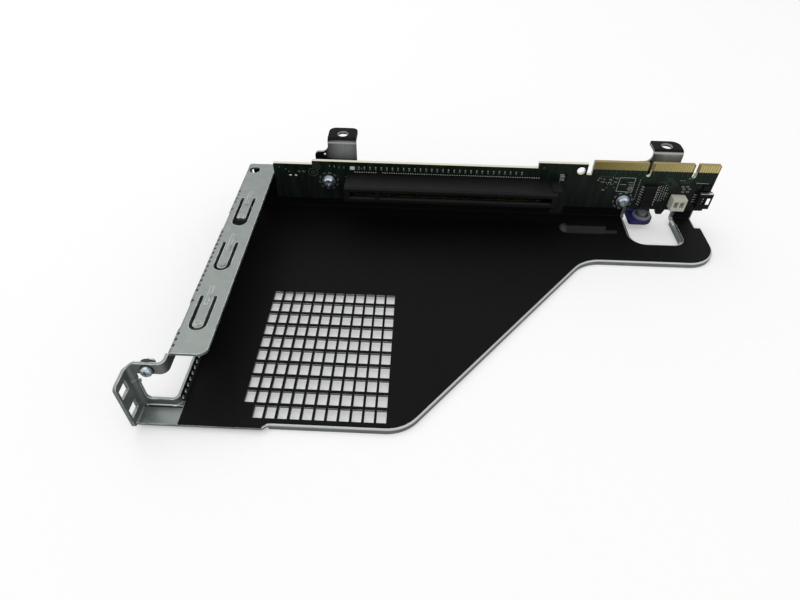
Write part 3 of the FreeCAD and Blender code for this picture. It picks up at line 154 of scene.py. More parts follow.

# Colours of the board: its mask in painted shade left of the middle, in painted light right of it and in
# painted shade below, its copper and its laminate
MASK_LESS_LIT = ((0.0030, 0.0072, 0.0048), (0.0052, 0.0115, 0.0076))
MASK_LIT = ((0.0058, 0.0150, 0.0092), (0.0100, 0.0240, 0.0150))
MASK_SHADED = ((0.0052, 0.0066, 0.0058), (0.0085, 0.0105, 0.0090))
MASK_OVER_COPPER = (0.014, 0.034, 0.020)
CUT_EDGE_CREAM = ((0.72, 0.71, 0.56), (0.88, 0.87, 0.74))
LAMINATE = ((0.26, 0.205, 0.085), (0.36, 0.29, 0.13))

# Colours of the contacts in painted shade and in painted light, and of the touch point in its blue and in
# painted shade
GOLD_IN_SHADE = ((0.26, 0.21, 0.065), (0.38, 0.31, 0.11))
GOLD_LIT = ((1.0, 0.80, 0.31), (1.0, 0.90, 0.42))
TOUCH_BLUE = ((0.018, 0.018, 0.125), (0.034, 0.032, 0.19))
TOUCH_SHADED = ((0.010, 0.011, 0.024), (0.018, 0.019, 0.036))

# Samples of the rounded normals, and how far the edge mask reaches from an edge in mm; it marks wear and a
# painted edge highlight
ROUNDING_SAMPLES = 6
EDGE_MASK_SAMPLES = 8
EDGE_MASK_REACH = 0.45


class Graph:
    """A small helper that builds one material's nodes; its edges are rounded over bevel, in mm."""

    def __init__(self, name, bevel):
        self.material = bpy.data.materials.new(name)
        self.material.use_nodes = True
        self.tree = self.material.node_tree
        self.tree.nodes.clear()
        self.output = self.tree.nodes.new("ShaderNodeOutputMaterial")
        self.shader = self.tree.nodes.new("ShaderNodeBsdfPrincipled")
        self.join(self.shader.outputs[0], self.output.inputs["Surface"])
        self.place = self.tree.nodes.new("ShaderNodeTexCoord").outputs["Object"]
        self.axes = self.tree.nodes.new("ShaderNodeSeparateXYZ")
        self.join(self.place, self.axes.inputs[0])
        self.geometry = self.tree.nodes.new("ShaderNodeNewGeometry")
        rounding = self.tree.nodes.new("ShaderNodeBevel")
        rounding.samples = ROUNDING_SAMPLES
        rounding.inputs["Radius"].default_value = bevel * MM
        self.rounded = rounding.outputs["Normal"]
        self.join(self.rounded, self.shader.inputs["Normal"])

    def join(self, source, target):
        self.tree.links.new(source, target)

    def put(self, target, value):
        """Joins another node's output to a socket, or writes a plain value or colour into it."""
        if isinstance(value, bpy.types.NodeSocket):
            self.join(value, target)
        elif isinstance(value, tuple) and target.type == "RGBA":
            target.default_value = (*value, 1.0)
        else:
            target.default_value = value

    def set(self, **values):
        """Sets the shader's sockets, named with _ for each space."""
        for name, value in values.items():
            self.put(self.shader.inputs[name.replace("_", " ")], value)

    def noise(self, scale, detail=3.0, rough=0.55, stretch=None):
        node = self.tree.nodes.new("ShaderNodeTexNoise")
        node.inputs["Scale"].default_value = scale
        node.inputs["Detail"].default_value = detail
        node.inputs["Roughness"].default_value = rough
        self.join(self.stretched(stretch), node.inputs["Vector"])
        return node.outputs[0]

    def stretched(self, stretch):
        if stretch is None:
            return self.place
        node = self.tree.nodes.new("ShaderNodeMapping")
        node.inputs["Scale"].default_value = stretch
        self.join(self.place, node.inputs["Vector"])
        return node.outputs[0]

    def cells(self, scale):
        """Three random values for each cell of a cell pattern."""
        node = self.tree.nodes.new("ShaderNodeTexVoronoi")
        node.inputs["Scale"].default_value = scale
        self.join(self.place, node.inputs["Vector"])
        parts = self.tree.nodes.new("ShaderNodeSeparateColor")
        self.join(node.outputs["Color"], parts.inputs[0])
        return parts.outputs

    def math(self, kind, a, b=0.0):
        node = self.tree.nodes.new("ShaderNodeMath")
        node.operation = kind
        self.put(node.inputs[0], a)
        self.put(node.inputs[1], b)
        return node.outputs[0]

    def remap(self, value, low, high, to_low=0.0, to_high=1.0):
        node = self.tree.nodes.new("ShaderNodeMapRange")
        self.put(node.inputs["Value"], value)
        node.inputs["From Min"].default_value = low
        node.inputs["From Max"].default_value = high
        node.inputs["To Min"].default_value = to_low
        node.inputs["To Max"].default_value = to_high
        return node.outputs[0]

    def blend(self, amount, a, b):
        node = self.tree.nodes.new("ShaderNodeMix")
        node.data_type = "RGBA"
        self.put(node.inputs["Factor"], amount)
        self.put(node.inputs["A"], a)
        self.put(node.inputs["B"], b)
        return node.outputs["Result"]

    def mask(self, *parts):
        """The product of several values."""
        value = parts[0]
        for part in parts[1:]:
            value = self.math("MULTIPLY", value, part)
        return value

    def bump(self, height, strength, distance, below=None):
        node = self.tree.nodes.new("ShaderNodeBump")
        node.inputs["Strength"].default_value = strength
        node.inputs["Distance"].default_value = distance
        self.join(height, node.inputs["Height"])
        self.join(self.rounded if below is None else below, node.inputs["Normal"])
        self.join(node.outputs["Normal"], self.shader.inputs["Normal"])
        return node.outputs["Normal"]

    def facing(self, axis):
        """How far the surface's own normal lies along one axis, from 0 to 1."""
        parts = self.tree.nodes.new("ShaderNodeSeparateXYZ")
        self.join(self.geometry.outputs["Normal"], parts.inputs[0])
        return self.math("ABSOLUTE", parts.outputs["XYZ".index(axis)])

    def past(self, axis, mm, soft):
        """1 where a point lies past a place along an axis, in mm from the cage's inner corner."""
        n = "XYZ".index(axis)
        start = CORNER[n] + mm * MM
        return self.remap(self.axes.outputs[n], start - soft * MM, start + soft * MM)

    def near(self, axis, mm, reach):
        """1 at a place along an axis, falling to 0 at its reach."""
        n = "XYZ".index(axis)
        away = self.math("ABSOLUTE", self.math("SUBTRACT", self.axes.outputs[n], CORNER[n] + mm * MM))
        return self.remap(away, 0.0, reach * MM, 1.0, 0.0)

    def within(self, spans, soft):
        """1 inside a block given by its spans along x, y and z."""
        value = None
        for axis, (low, high) in zip("XYZ", spans):
            inside = self.math("SUBTRACT", self.past(axis, low, soft), self.past(axis, high, soft))
            value = inside if value is None else self.math("MULTIPLY", value, inside)
        return value

    def outside(self, spans, soft):
        """1 outside such a block."""
        return self.remap(self.within(spans, soft), 0.0, 1.0, 1.0, 0.0)

    def between(self, axis, low, high, soft_low, soft_high):
        """1 between two places along an axis."""
        return self.math("SUBTRACT", self.past(axis, low, soft_low), self.past(axis, high, soft_high))

    def hole_shade(self):
        """1 on the painted shade round the holes along the rail's fold."""
        turns = self.math("SUBTRACT", self.axes.outputs[1], CORNER_Y + RIM_FIRST * MM)
        wave = self.math("COSINE", self.math("MULTIPLY", turns, 2 * math.pi / (RIM_PITCH * MM)))
        across = self.math("SUBTRACT", self.axes.outputs[0], CORNER_X + RIM_AT_X * MM)
        band = self.remap(self.math("ABSOLUTE", across), RIM_HALF * MM, (RIM_HALF - RIM_SOFT) * MM)
        used = None
        for low, high in RIM_STRETCHES:
            inside = self.between("Y", low, high, 0.05, 0.05)
            used = inside if used is None else self.math("ADD", used, inside)
        return self.mask(self.remap(wave, *RIM_WAVE), band, used, self.past("Z", RIM_ABOVE_Z, 0.1))

    def edge_mask(self, low, high):
        """1 along sharp edges, where a wide rounded normal leaves the flat one."""
        wide = self.tree.nodes.new("ShaderNodeBevel")
        wide.samples = EDGE_MASK_SAMPLES
        wide.inputs["Radius"].default_value = EDGE_MASK_REACH * MM
        dot = self.tree.nodes.new("ShaderNodeVectorMath")
        dot.operation = "DOT_PRODUCT"
        self.join(wide.outputs["Normal"], dot.inputs[0])
        self.join(self.geometry.outputs["Normal"], dot.inputs[1])
        return self.remap(self.math("SUBTRACT", 1.0, dot.outputs["Value"]), low, high)


def galvanised():
    """A spangled zinc coat with worn edges that also carry a painted edge highlight, painted highlights on
    the folds, and painted shade beside and under the folds and round the rail's holes.
    """
    g = Graph("galvanised", bevel=0.26)
    spangle = g.cells(420.0)
    cloud = g.noise(60.0, detail=4.0)
    grain = g.noise(2600.0, detail=2.0, stretch=(1.0, 0.25, 1.0))
    tone = g.math("ADD", g.math("MULTIPLY", spangle[0], 0.30), g.math("MULTIPLY", cloud, 0.70))
    # Worn edges, lightened further as a painted edge highlight
    wear_and_edge_highlight = g.mask(g.edge_mask(0.01, 0.12), g.remap(g.noise(300.0), 0.35, 0.55))
    colour = g.blend(wear_and_edge_highlight, g.blend(tone, *ZINC), ZINC_WORN_EDGE_HIGHLIGHT)

    # Painted highlights on the folds along the plate's edge, the grip and the hook's foot
    low, high = EDGE_FOLD_Z
    edge_fold_highlight = g.mask(g.between("Z", low, high, 0.15, 0.05), g.past("X", EDGE_FOLD_X, 0.5),
                       g.outside(VENT_ZONE, 0.3), g.outside(GRIP_ZONE, 0.5))
    grip_fold_highlight = g.within(GRIP_FOLD, 0.12)
    colour = g.blend(edge_fold_highlight, colour, ZINC_EDGE_FOLD_HIGHLIGHT)
    colour = g.blend(grip_fold_highlight, colour, ZINC_GRIP_FOLD_HIGHLIGHT)
    colour = g.blend(g.within(HOOK_FOLD, 0.08), colour, ZINC_HOOK_FOLD_HIGHLIGHT)

    # Painted shade beside the hook's fold, round the rail's holes and along the left wall's foot
    shade = g.math("MAXIMUM", g.within(HOOK_FOLD_SHADE, 0.12), g.hole_shade())
    shade = g.math("MAXIMUM", g.within(FOOT_STRIP, 0.12), shade)
    sheen_mask = g.math("ADD", tone, g.math("MULTIPLY", grain, 0.4))
    g.set(Base_Color=g.blend(shade, colour, ZINC_SHADED),
          Metallic=g.remap(grip_fold_highlight, 0.0, 1.0, 0.90, 0.25),
          Roughness=g.remap(sheen_mask, 0.2, 1.2, 0.36, 0.54))
    g.bump(grain, 0.12, 0.0002, g.bump(spangle[1], 0.06, 0.0003))
    return g.material


def film():
    """Matt black, with a painted sheen on the tabs' faces and the bead's slopes, and painted highlights
    along the tabs' folds, the bead's left end and the grip's edge.
    """
    g = Graph("film", bevel=0.30)
    grain = g.noise(1500.0, rough=0.6)
    cloud = g.noise(38.0, detail=4.0)
    streak = g.noise(900.0, detail=2.0, stretch=(1.0, 1.0, 0.06))
    # Painted sheen on the tabs' upright faces
    tabs = g.math("MAXIMUM", *[g.near("X", centre, TAB_HALF * 1.15) for centre in TAB_CENTRES])
    upright = g.remap(g.facing("Z"), 0.7, 0.25)
    sheen_mask = g.mask(g.past("Z", TAB_FOOT_Z, 0.8), upright, g.remap(tabs, 0.05, 0.75))
    # Painted highlight along the tabs' fold
    fold = g.mask(g.near("Z", TAB_FOLD_Z, 0.55), g.remap(tabs, 0.0, 0.1))
    # Painted sheen on the bead's slopes and a painted highlight on its left end
    slope = g.mask(g.within(BEAD_ZONE, 0.3), g.remap(g.facing("Z"), 0.985, 0.80))
    colour = g.blend(slope, g.blend(cloud, *FILM_BLACK), FILM_BEAD_SHEEN)
    colour = g.blend(g.mask(slope, g.within(BEAD_LEFT_END, 0.8)), colour, FILM_BEAD_SHEEN_END)
    colour = g.blend(sheen_mask, colour, g.blend(streak, *FILM_TAB_SHEEN))
    # Painted highlight along the film's edge at the grip
    grip = g.mask(g.within(GRIP_ZONE, 0.5), g.edge_mask(0.01, 0.10))
    g.set(Base_Color=g.blend(g.math("MAXIMUM", fold, grip), colour, FILM_EDGE_HIGHLIGHT),
          Metallic=g.math("MULTIPLY", sheen_mask, 0.7),
          Roughness=g.remap(grain, 0.3, 0.7, 0.50, 0.66),
          Specular_IOR_Level=0.085)
    g.bump(grain, 0.20, 0.00008, g.bump(cloud, 0.10, 0.0006))
    return g.material


def solder_mask():
    """A green mask over copper on both faces, in painted shade to the left and below and in painted light
    to the right, bare laminate between the contacts, and pale cut edges.
    """
    g = Graph("board", bevel=0.08)
    front = g.remap(g.facing("Y"), 0.35, 0.75)
    weave = g.noise(900.0, detail=2.0, stretch=(1.0, 1.0, 0.5))
    cloud = g.noise(90.0)
    copper = g.remap(g.noise(420.0, detail=1.0, rough=0.4, stretch=(1.0, 1.0, 0.12)), 0.50, 0.56)
    # Painted light right of the middle, and painted shade below
    lit = g.past("X", LIT_ZONE_X, LIT_ZONE_SOFT)
    upper = g.blend(lit, g.blend(cloud, *MASK_LESS_LIT), g.blend(cloud, *MASK_LIT))
    mask = g.blend(g.past("Z", SHADED_ZONE_Z, 0.6), g.blend(cloud, *MASK_SHADED), upper)
    mask = g.blend(g.math("MULTIPLY", copper, 0.30), mask, MASK_OVER_COPPER)
    bare = g.mask(g.past("Z", GOLD_ZONE_Z, 0.1), g.past("X", GOLD_ZONE_X, 0.1))
    cream = g.blend(g.noise(500.0, detail=2.0, stretch=(1.0, 3.0, 1.0)), *CUT_EDGE_CREAM)
    cut_edge = g.blend(bare, cream, LAMINATE[1])
    face = g.blend(bare, mask, g.blend(cloud, *LAMINATE))
    g.set(Base_Color=g.blend(front, cut_edge, face),
          Roughness=g.remap(front, 0.0, 1.0, 0.7, 0.38),
          Specular_IOR_Level=0.22)
    g.bump(weave, 0.10, 0.00005, g.bump(cloud, 0.05, 0.0003))
    return g.material


def gold():
    """Wiped plating, in painted shade at one end that turns to painted light along the board."""
    g = Graph("gold", bevel=0.05)
    wipe = g.noise(700.0, stretch=(1.0, 1.0, 0.08))
    # Painted shade at the left end turning to painted light at the right
    along = g.remap(g.axes.outputs[0], CORNER_X + GOLD_SHADE_X * MM, CORNER_X + GOLD_LIT_X * MM)
    g.set(Base_Color=g.blend(along, g.blend(wipe, *GOLD_IN_SHADE), g.blend(wipe, *GOLD_LIT)),
          Metallic=0.92,
          Roughness=g.remap(wipe, 0.3, 0.7, 0.30, 0.46))
    g.bump(wipe, 0.08, 0.0001)
    return g.material


def moulded(name, low, high, rough=(0.42, 0.56), specular=0.45, bevel=0.10, front=None):
    """Fine-grained plastic between two tones; front is the pair of tones of the touch point's painted shade
    past its turn.
    """
    g = Graph(name, bevel)
    fine = g.noise(900.0, rough=0.6)
    cloud = g.noise(140.0, detail=2.0)
    colour = g.blend(cloud, low, high)
    if front:
        # Painted shade on the touch point's front
        colour = g.blend(g.past("X", TOUCH_SHADED_X, TOUCH_SHADED_SOFT), colour, g.blend(cloud, *front))
    g.set(Base_Color=colour,
          Roughness=g.remap(fine, 0.3, 0.7, *rough),
          Specular_IOR_Level=specular)
    g.bump(fine, 0.12, 0.00006)
    return g.material


def plated(name, low, high, rough):
    """Plated or blackened metal between two tones."""
    g = Graph(name, bevel=0.10)
    fine = g.noise(800.0, rough=0.6)
    cloud = g.noise(260.0)
    g.set(Base_Color=g.blend(cloud, low, high),
          Metallic=1.0,
          Roughness=g.remap(fine, 0.3, 0.7, *rough))
    g.bump(fine, 0.08, 0.00005)
    return g.material


MATERIALS = {
    "galvanised": galvanised(),
    "film": film(),
    "board": solder_mask(),
    "gold": gold(),
    "black_plastic": moulded("black_plastic", (0.0050, 0.0050, 0.0055), (0.0090, 0.0090, 0.0100),
                             specular=0.16),
    "cream_plastic": moulded("cream_plastic", (0.62, 0.62, 0.52), (0.78, 0.78, 0.68), bevel=0.2),
    "blue_plastic": moulded("blue_plastic", *TOUCH_BLUE, rough=(0.34, 0.50), specular=0.35, bevel=0.3,
                            front=TOUCH_SHADED),
    "grey_plastic": moulded("grey_plastic", (0.16, 0.17, 0.19), (0.26, 0.27, 0.30)),
    "zinc": plated("zinc", (0.46, 0.53, 0.58), (0.68, 0.75, 0.80), (0.26, 0.40)),
    "dark_steel": plated("dark_steel", (0.035, 0.035, 0.038), (0.075, 0.075, 0.08), (0.42, 0.56)),
    "tin": plated("tin", (0.62, 0.63, 0.62), (0.80, 0.80, 0.78), (0.28, 0.42)),
    "ceramic_pale": moulded("ceramic_pale", (0.11, 0.095, 0.070), (0.19, 0.17, 0.13)),
    "ceramic_dark": moulded("ceramic_dark", (0.012, 0.012, 0.012), (0.024, 0.024, 0.024), specular=0.2),
    "white_resin": moulded("white_resin", (0.70, 0.70, 0.66), (0.85, 0.85, 0.80)),
}
SILK = moulded("silk_print", (0.42, 0.46, 0.42), (0.62, 0.66, 0.61), (0.6, 0.7), specular=0.2)
SILK_FAINT = moulded("silk_print_faint", (0.060, 0.080, 0.066), (0.110, 0.135, 0.112), (0.6, 0.7),
                     specular=0.2)
TRACE = moulded("covered_copper", (0.030, 0.058, 0.038), (0.052, 0.088, 0.060), (0.32, 0.42), specular=0.25)
SMALL_TIN = plated("small_part_ends", (0.34, 0.35, 0.34), (0.50, 0.51, 0.49), (0.32, 0.46))
PAD_GREY = plated("pad_grey", (0.20, 0.21, 0.20), (0.34, 0.35, 0.33), (0.4, 0.55))


def dress_nodes():
    """Every CAD node takes the finish of its slot in the record."""
    for row in RECORD["subparts"]:
        node = NODES[row["node"]]
        node.data.materials.clear()
        node.data.materials.append(MATERIALS[row["material_slot"]])


def on_board(x, z, proud=0.0):
    """A point on the board's front face, or in front of it."""
    return Vector((CORNER_X + x * MM, BOARD_LOW.y - proud * MM, CORNER_Z + z * MM))


class Relief:
    """Thin closed shapes that stand on the board's front face, gathered into one piece."""

    SINK = 0.03

    def __init__(self, height=0.0):
        self.mesh = bmesh.new()
        self.height = height

    def prism(self, outline, height=None):
        height = self.height if height is None else height
        back = [self.mesh.verts.new(on_board(x, z, -self.SINK)) for x, z in outline]
        front = [self.mesh.verts.new(on_board(x, z, height)) for x, z in outline]
        self.mesh.faces.new(back)
        self.mesh.faces.new(front)
        for n in range(len(outline)):
            m = (n + 1) % len(outline)
            self.mesh.faces.new((back[n], back[m], front[m], front[n]))

    def block(self, x0, x1, z0, z1, height):
        self.prism(((x0, z0), (x1, z0), (x1, z1), (x0, z1)), height)

    def line(self, start, end, width):
        along, up = end[0] - start[0], end[1] - start[1]
        size = math.hypot(along, up)
        dx, dz = -up / size * width / 2, along / size * width / 2
        self.prism(((start[0] + dx, start[1] + dz), (start[0] - dx, start[1] - dz),
                    (end[0] - dx, end[1] - dz), (end[0] + dx, end[1] + dz)))

    def path(self, points, width):
        for start, end in zip(points[:-1], points[1:]):
            self.line(start, end, width)

    def disc(self, x, z, radius, sides=8):
        turns = [2 * math.pi * n / sides for n in range(sides)]
        self.prism([(x + radius * math.cos(turn), z + radius * math.sin(turn)) for turn in turns])

    def arc(self, x, z, radius, width, start=0.0, end=360.0, steps=24):
        """A flat band that follows a circle from one angle to another."""
        for n in range(steps):
            a = math.radians(start + (end - start) * n / steps)
            b = math.radians(start + (end - start) * (n + 1) / steps)
            inner, outer = radius - width / 2, radius + width / 2
            self.prism(((x + inner * math.cos(a), z + inner * math.sin(a)),
                        (x + outer * math.cos(a), z + outer * math.sin(a)),
                        (x + outer * math.cos(b), z + outer * math.sin(b)),
                        (x + inner * math.cos(b), z + inner * math.sin(b))))

    def bead(self, x, z, half_x, half_z, height, sides=10, rings=3):
        """A low drop of solder."""
        rows = []
        for ring in range(rings):
            rise = math.radians(90.0 * ring / rings)
            rows.append([self.mesh.verts.new(on_board(
                x + half_x * math.cos(rise) * math.cos(2 * math.pi * n / sides),
                z + half_z * math.cos(rise) * math.sin(2 * math.pi * n / sides),
                height * math.sin(rise) - (self.SINK if ring == 0 else 0.0))) for n in range(sides)])
        tip = self.mesh.verts.new(on_board(x, z, height))
        self.mesh.faces.new(rows[0])
        for low, high in zip(rows[:-1], rows[1:]):
            for n in range(sides):
                m = (n + 1) % sides
                self.mesh.faces.new((low[n], low[m], high[m], high[n]))
        for n in range(sides):
            self.mesh.faces.new((rows[-1][n], rows[-1][(n + 1) % sides], tip))

    def piece(self, name, slot, material, smooth=False):
        bmesh.ops.recalc_face_normals(self.mesh, faces=self.mesh.faces)
        for face in self.mesh.faces:
            face.smooth = smooth
        data = bpy.data.meshes.new(name)
        self.mesh.to_mesh(data)
        self.mesh.free()
        data.materials.append(material)
        shape = bpy.data.objects.new(name, data)
        scene.collection.objects.link(shape)
        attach(shape, "root")


# Points of a mesh nearer than this, in m, are one point
SAME_POINT = 1e-7


def solids_of(node):
    """Each separate solid of a node as x0, x1, z0, z1 and how far it stands out, in mm on the board."""
    mesh = bmesh.new()
    mesh.from_mesh(NODES[node].data)
    bmesh.ops.remove_doubles(mesh, verts=mesh.verts, dist=SAME_POINT)
    boxes = []
    seen = set()
    for first in mesh.verts:
        if first.index in seen:
            continue
        seen.add(first.index)
        stack, group = [first], []
        while stack:
            vert = stack.pop()
            group.append(vert.co)
            for edge in vert.link_edges:
                other = edge.other_vert(vert)
                if other.index not in seen:
                    seen.add(other.index)
                    stack.append(other)
        xs = [(co.x - CORNER_X) / MM for co in group]
        zs = [(co.z - CORNER_Z) / MM for co in group]
        boxes.append((min(xs), max(xs), min(zs), max(zs), (BOARD_LOW.y - min(co.y for co in group)) / MM))
    mesh.free()
    return sorted(boxes)


# Tinned ends: how far they stand over the part, and their share of its length. Solder under each end:
# how far it reaches past the end, how much narrower it is on each side, and its share of the part's height
TWO_ENDED_PARTS = ("coupling_capacitors", "small_capacitors", "small_resistors")
CAP_OVER = 0.025
CAP_SHARE = 0.24
CAP_SOLDER_REACH = 0.16
CAP_SOLDER_INSET = 0.05
CAP_SOLDER_HEIGHT = 0.35


def end_caps():
    """Tinned ends and solder on the small two-ended parts."""
    caps = Relief()
    for node in TWO_ENDED_PARTS:
        for x0, x1, z0, z1, proud in solids_of(node):
            lying = x1 - x0 > z1 - z0
            start, end, low, high = (x0, x1, z0, z1) if lying else (z0, z1, x0, x1)
            reach = (end - start) * CAP_SHARE
            for a, b in ((start - CAP_OVER, start + reach), (end - reach, end + CAP_OVER)):
                cap = ((a, b), (low - CAP_OVER, high + CAP_OVER))
                solder = ((a - CAP_SOLDER_REACH, b + CAP_SOLDER_REACH),
                          (low + CAP_SOLDER_INSET, high - CAP_SOLDER_INSET))
                heights = (proud + CAP_OVER, proud * CAP_SOLDER_HEIGHT)
                for (along, across), height in zip((cap, solder), heights):
                    spans = (*along, *across) if lying else (*across, *along)
                    caps.block(*spans, height)
    caps.piece("small_part_ends", "tin", SMALL_TIN)


# Row of leads where the slot is soldered: their place, and each drop's half size and height
SLOT_LEAD_Z = 23.08
SLOT_LEAD_HALF = (0.27, 0.24)
SLOT_LEAD_HEIGHT = 0.30


def slot_leads():
    """A drop of solder for each column of the slot's contacts."""
    leads = Relief()
    columns = sorted({round((x0 + x1) / 2, 2) for x0, x1, *_ in solids_of("slot_contacts")})
    for x in columns:
        leads.bead(x, SLOT_LEAD_Z, *SLOT_LEAD_HALF, SLOT_LEAD_HEIGHT)
    leads.piece("slot_solder", "tin", MATERIALS["tin"], smooth=True)


# Print on the board, as places x and z; rings have a radius too
PRINT_HEIGHT = 0.03
FAINT_PRINT_HEIGHT = 0.025
FRAME_WIDTH = 0.20
DASH_WIDTH = 0.20
MARK_WIDTH = 0.18
RING_WIDTH = 0.22
SPECK_RADIUS = 0.17
PART_FRAME = ((161.5, 24.6), (168.1, 24.6), (168.2, 17.6), (161.4, 17.8))
FRAME_MARKS = (((162.3, 21.3), (164.9, 21.2)), ((165.6, 22.3), (167.7, 22.3)),
               ((165.9, 21.2), (167.7, 21.2)))
FRAME_RING = (166.9, 19.4, 0.85)
FRAME_RING_BAR = 0.7
PLAIN_RINGS = ((31.7, 25.3, 1.55), (30.0, 22.3, 1.9), (31.7, 25.3, 0.6), (30.0, 22.3, 0.7),
               (49.1, 25.0, 0.55), (128.8, 28.0, 0.5))
SPECKS = ((160.0, 24.4), (160.0, 22.5), (158.3, 22.8), (155.2, 23.6), (154.8, 23.4), (152.8, 24.3),
          (154.6, 21.8), (156.9, 21.0), (156.9, 19.6), (157.6, 23.7), (160.1, 19.7), (155.6, 18.4),
          (15.4, 24.3), (18.2, 23.5), (19.4, 22.3), (25.4, 22.6), (44.0, 20.6))
SMALL_DASHES = (((51.1, 24.5), (51.1, 25.2)), ((152.0, 23.0), (153.0, 23.0)),
                ((157.2, 22.0), (158.2, 22.0)), ((158.6, 24.1), (158.6, 24.8)),
                ((37.3, 25.2), (37.3, 26.1)), ((39.4, 25.0), (39.4, 25.9)),
                ((41.4, 24.6), (41.4, 25.5)), ((43.5, 24.6), (43.5, 25.5)),
                ((194.0, 23.1), (199.4, 23.0)), ((186.9, 24.1), (187.7, 24.1)),
                ((188.2, 24.1), (189.0, 24.1)), ((190.2, 25.2), (191.0, 25.1)))
CORNER_MARK = ((155.4, 18.6), (156.4, 18.4), (155.7, 17.8))


def board_print():
    """Frames, rings, dashes and specks of plain print."""
    bright = Relief(PRINT_HEIGHT)
    corners = [*PART_FRAME, PART_FRAME[0]]
    bright.path(corners, FRAME_WIDTH)
    for start, end in FRAME_MARKS:
        bright.line(start, end, MARK_WIDTH)
    x, z, radius = FRAME_RING
    bright.arc(x, z, radius, FRAME_WIDTH)
    bar = radius * FRAME_RING_BAR
    bright.line((x - bar, z - bar), (x + bar, z + bar), FRAME_WIDTH)
    bright.prism(CORNER_MARK)
    for x, z in SPECKS:
        bright.disc(x, z, SPECK_RADIUS)
    for start, end in SMALL_DASHES:
        bright.line(start, end, DASH_WIDTH)
    bright.piece("board_print", "white_resin", SILK)

    faint = Relief(FAINT_PRINT_HEIGHT)
    for x, z, radius in PLAIN_RINGS:
        faint.arc(x, z, radius, RING_WIDTH)
    faint.piece("board_print_rings", "white_resin", SILK_FAINT)


# Bare pads: their height, the broken ring round each screw, and the soldered pads' half size and drop
PAD_HEIGHT = 0.05
SCREW_PAD_RADIUS = 4.0
SCREW_PAD_WIDTH = 0.6
SCREW_PAD_PARTS = 10
SCREW_PAD_SHARE = 0.55
SCREW_PAD_STEPS = 4
SOLDER_PADS = ((19.9, 20.4), (22.3, 20.4))
SOLDER_PAD_HALF = (0.75, 0.55)
SOLDER_PAD_DROP = 0.35


def screw_pads():
    """A broken ring of bare pads round each board screw."""
    pads = Relief(PAD_HEIGHT)
    turn = 360.0 / SCREW_PAD_PARTS
    for x0, x1, z0, z1, _ in solids_of("board_washers"):
        for n in range(SCREW_PAD_PARTS):
            pads.arc((x0 + x1) / 2, (z0 + z1) / 2, SCREW_PAD_RADIUS, SCREW_PAD_WIDTH,
                     n * turn, n * turn + turn * SCREW_PAD_SHARE, SCREW_PAD_STEPS)
    pads.piece("screw_pads", "tin", PAD_GREY)


def solder_pads():
    """Bright solder on bare pads."""
    pads = Relief(PAD_HEIGHT)
    for x, z in SOLDER_PADS:
        pads.bead(x, z, *SOLDER_PAD_HALF, SOLDER_PAD_DROP)
    pads.piece("solder_pads", "tin", MATERIALS["tin"], smooth=True)


# Ringed holes round the chip, in columns of x, lowest z, highest z and how many, and tracks of bent lines
VIA_COLUMNS = ((179.9, 14.0, 21.0, 8), (180.9, 13.6, 20.6, 8), (181.9, 13.9, 21.4, 8),
               (182.9, 14.6, 20.2, 6), (170.3, 14.2, 23.6, 9))
VIA_RADIUS = 0.22
TRACK_HEIGHT = 0.02
TRACK_WIDTH = 0.28
TRACKS = (((180.6, 25.4), (181.6, 24.9), (184.4, 22.6), (184.4, 20.4)),
          ((181.9, 25.4), (182.4, 24.9), (185.3, 22.4), (185.3, 20.6)),
          ((183.1, 25.4), (183.4, 24.8), (186.2, 22.3), (186.2, 20.9)),
          ((180.4, 22.9), (182.2, 22.2), (183.8, 20.6)),
          ((178.8, 22.6), (180.6, 23.6), (184.6, 23.6)),
          ((152.4, 25.0), (158.0, 25.0), (159.2, 26.0), (159.2, 28.0)),
          ((170.2, 24.0), (171.8, 25.6), (171.8, 28.0)),
          ((187.6, 23.0), (190.4, 23.0), (191.6, 24.0), (191.6, 28.0)))

# Short tracks under the contacts, whose lower ends step up by turns
CONTACT_TRACK_WIDTH = 0.22
CONTACT_TRACK_PITCH = 2.0
CONTACT_TRACK_SPAN = (151.0, 199.0)
CONTACT_TRACK_Z = (25.9, 28.4)
CONTACT_TRACK_STEP = 0.5
CONTACT_TRACK_TURNS = 3


def chip_surroundings():
    """Ringed holes and covered tracks round the chip."""
    vias = Relief(PRINT_HEIGHT)
    for x, low, high, count in VIA_COLUMNS:
        for n in range(count):
            vias.disc(x, low + (high - low) * n / (count - 1), VIA_RADIUS)
    vias.piece("via_pads", "tin", SILK)

    tracks = Relief(TRACK_HEIGHT)
    for points in TRACKS:
        tracks.path(points, TRACK_WIDTH)
    first, last = CONTACT_TRACK_SPAN
    low, high = CONTACT_TRACK_Z
    for n in range(int((last - first) / CONTACT_TRACK_PITCH)):
        x = first + n * CONTACT_TRACK_PITCH
        foot = low + (n % CONTACT_TRACK_TURNS) * CONTACT_TRACK_STEP
        tracks.line((x, foot), (x, high), CONTACT_TRACK_WIDTH)
    tracks.piece("board_tracks", "board", TRACE)


# Closed stretch of the left wall behind the spring fingers, in mm as x, y and z, and its rounded edges
WALL_PANEL = ((0.02, 0.98), (19.0, 103.3), (3.9, 15.8))
WALL_PANEL_ROUND = 0.1


def wall_panel():
    """The part of the left wall that shows dark through the slots of the fingers."""
    mesh = bmesh.new()
    low, high = (Vector([CORNER[n] + WALL_PANEL[n][side] * MM for n in range(3)]) for side in (0, 1))
    bmesh.ops.create_cube(mesh, size=1.0)
    for vert in mesh.verts:
        vert.co = Vector([low[n] + (vert.co[n] + 0.5) * (high[n] - low[n]) for n in range(3)])
    bmesh.ops.bevel(mesh, geom=mesh.edges[:], offset=WALL_PANEL_ROUND * MM, segments=2, affect="EDGES")
    data = bpy.data.meshes.new("wall_panel")
    mesh.to_mesh(data)
    mesh.free()
    data.materials.append(MATERIALS["galvanised"])
    panel = bpy.data.objects.new("wall_panel", data)
    scene.collection.objects.link(panel)
    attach(panel, "root")


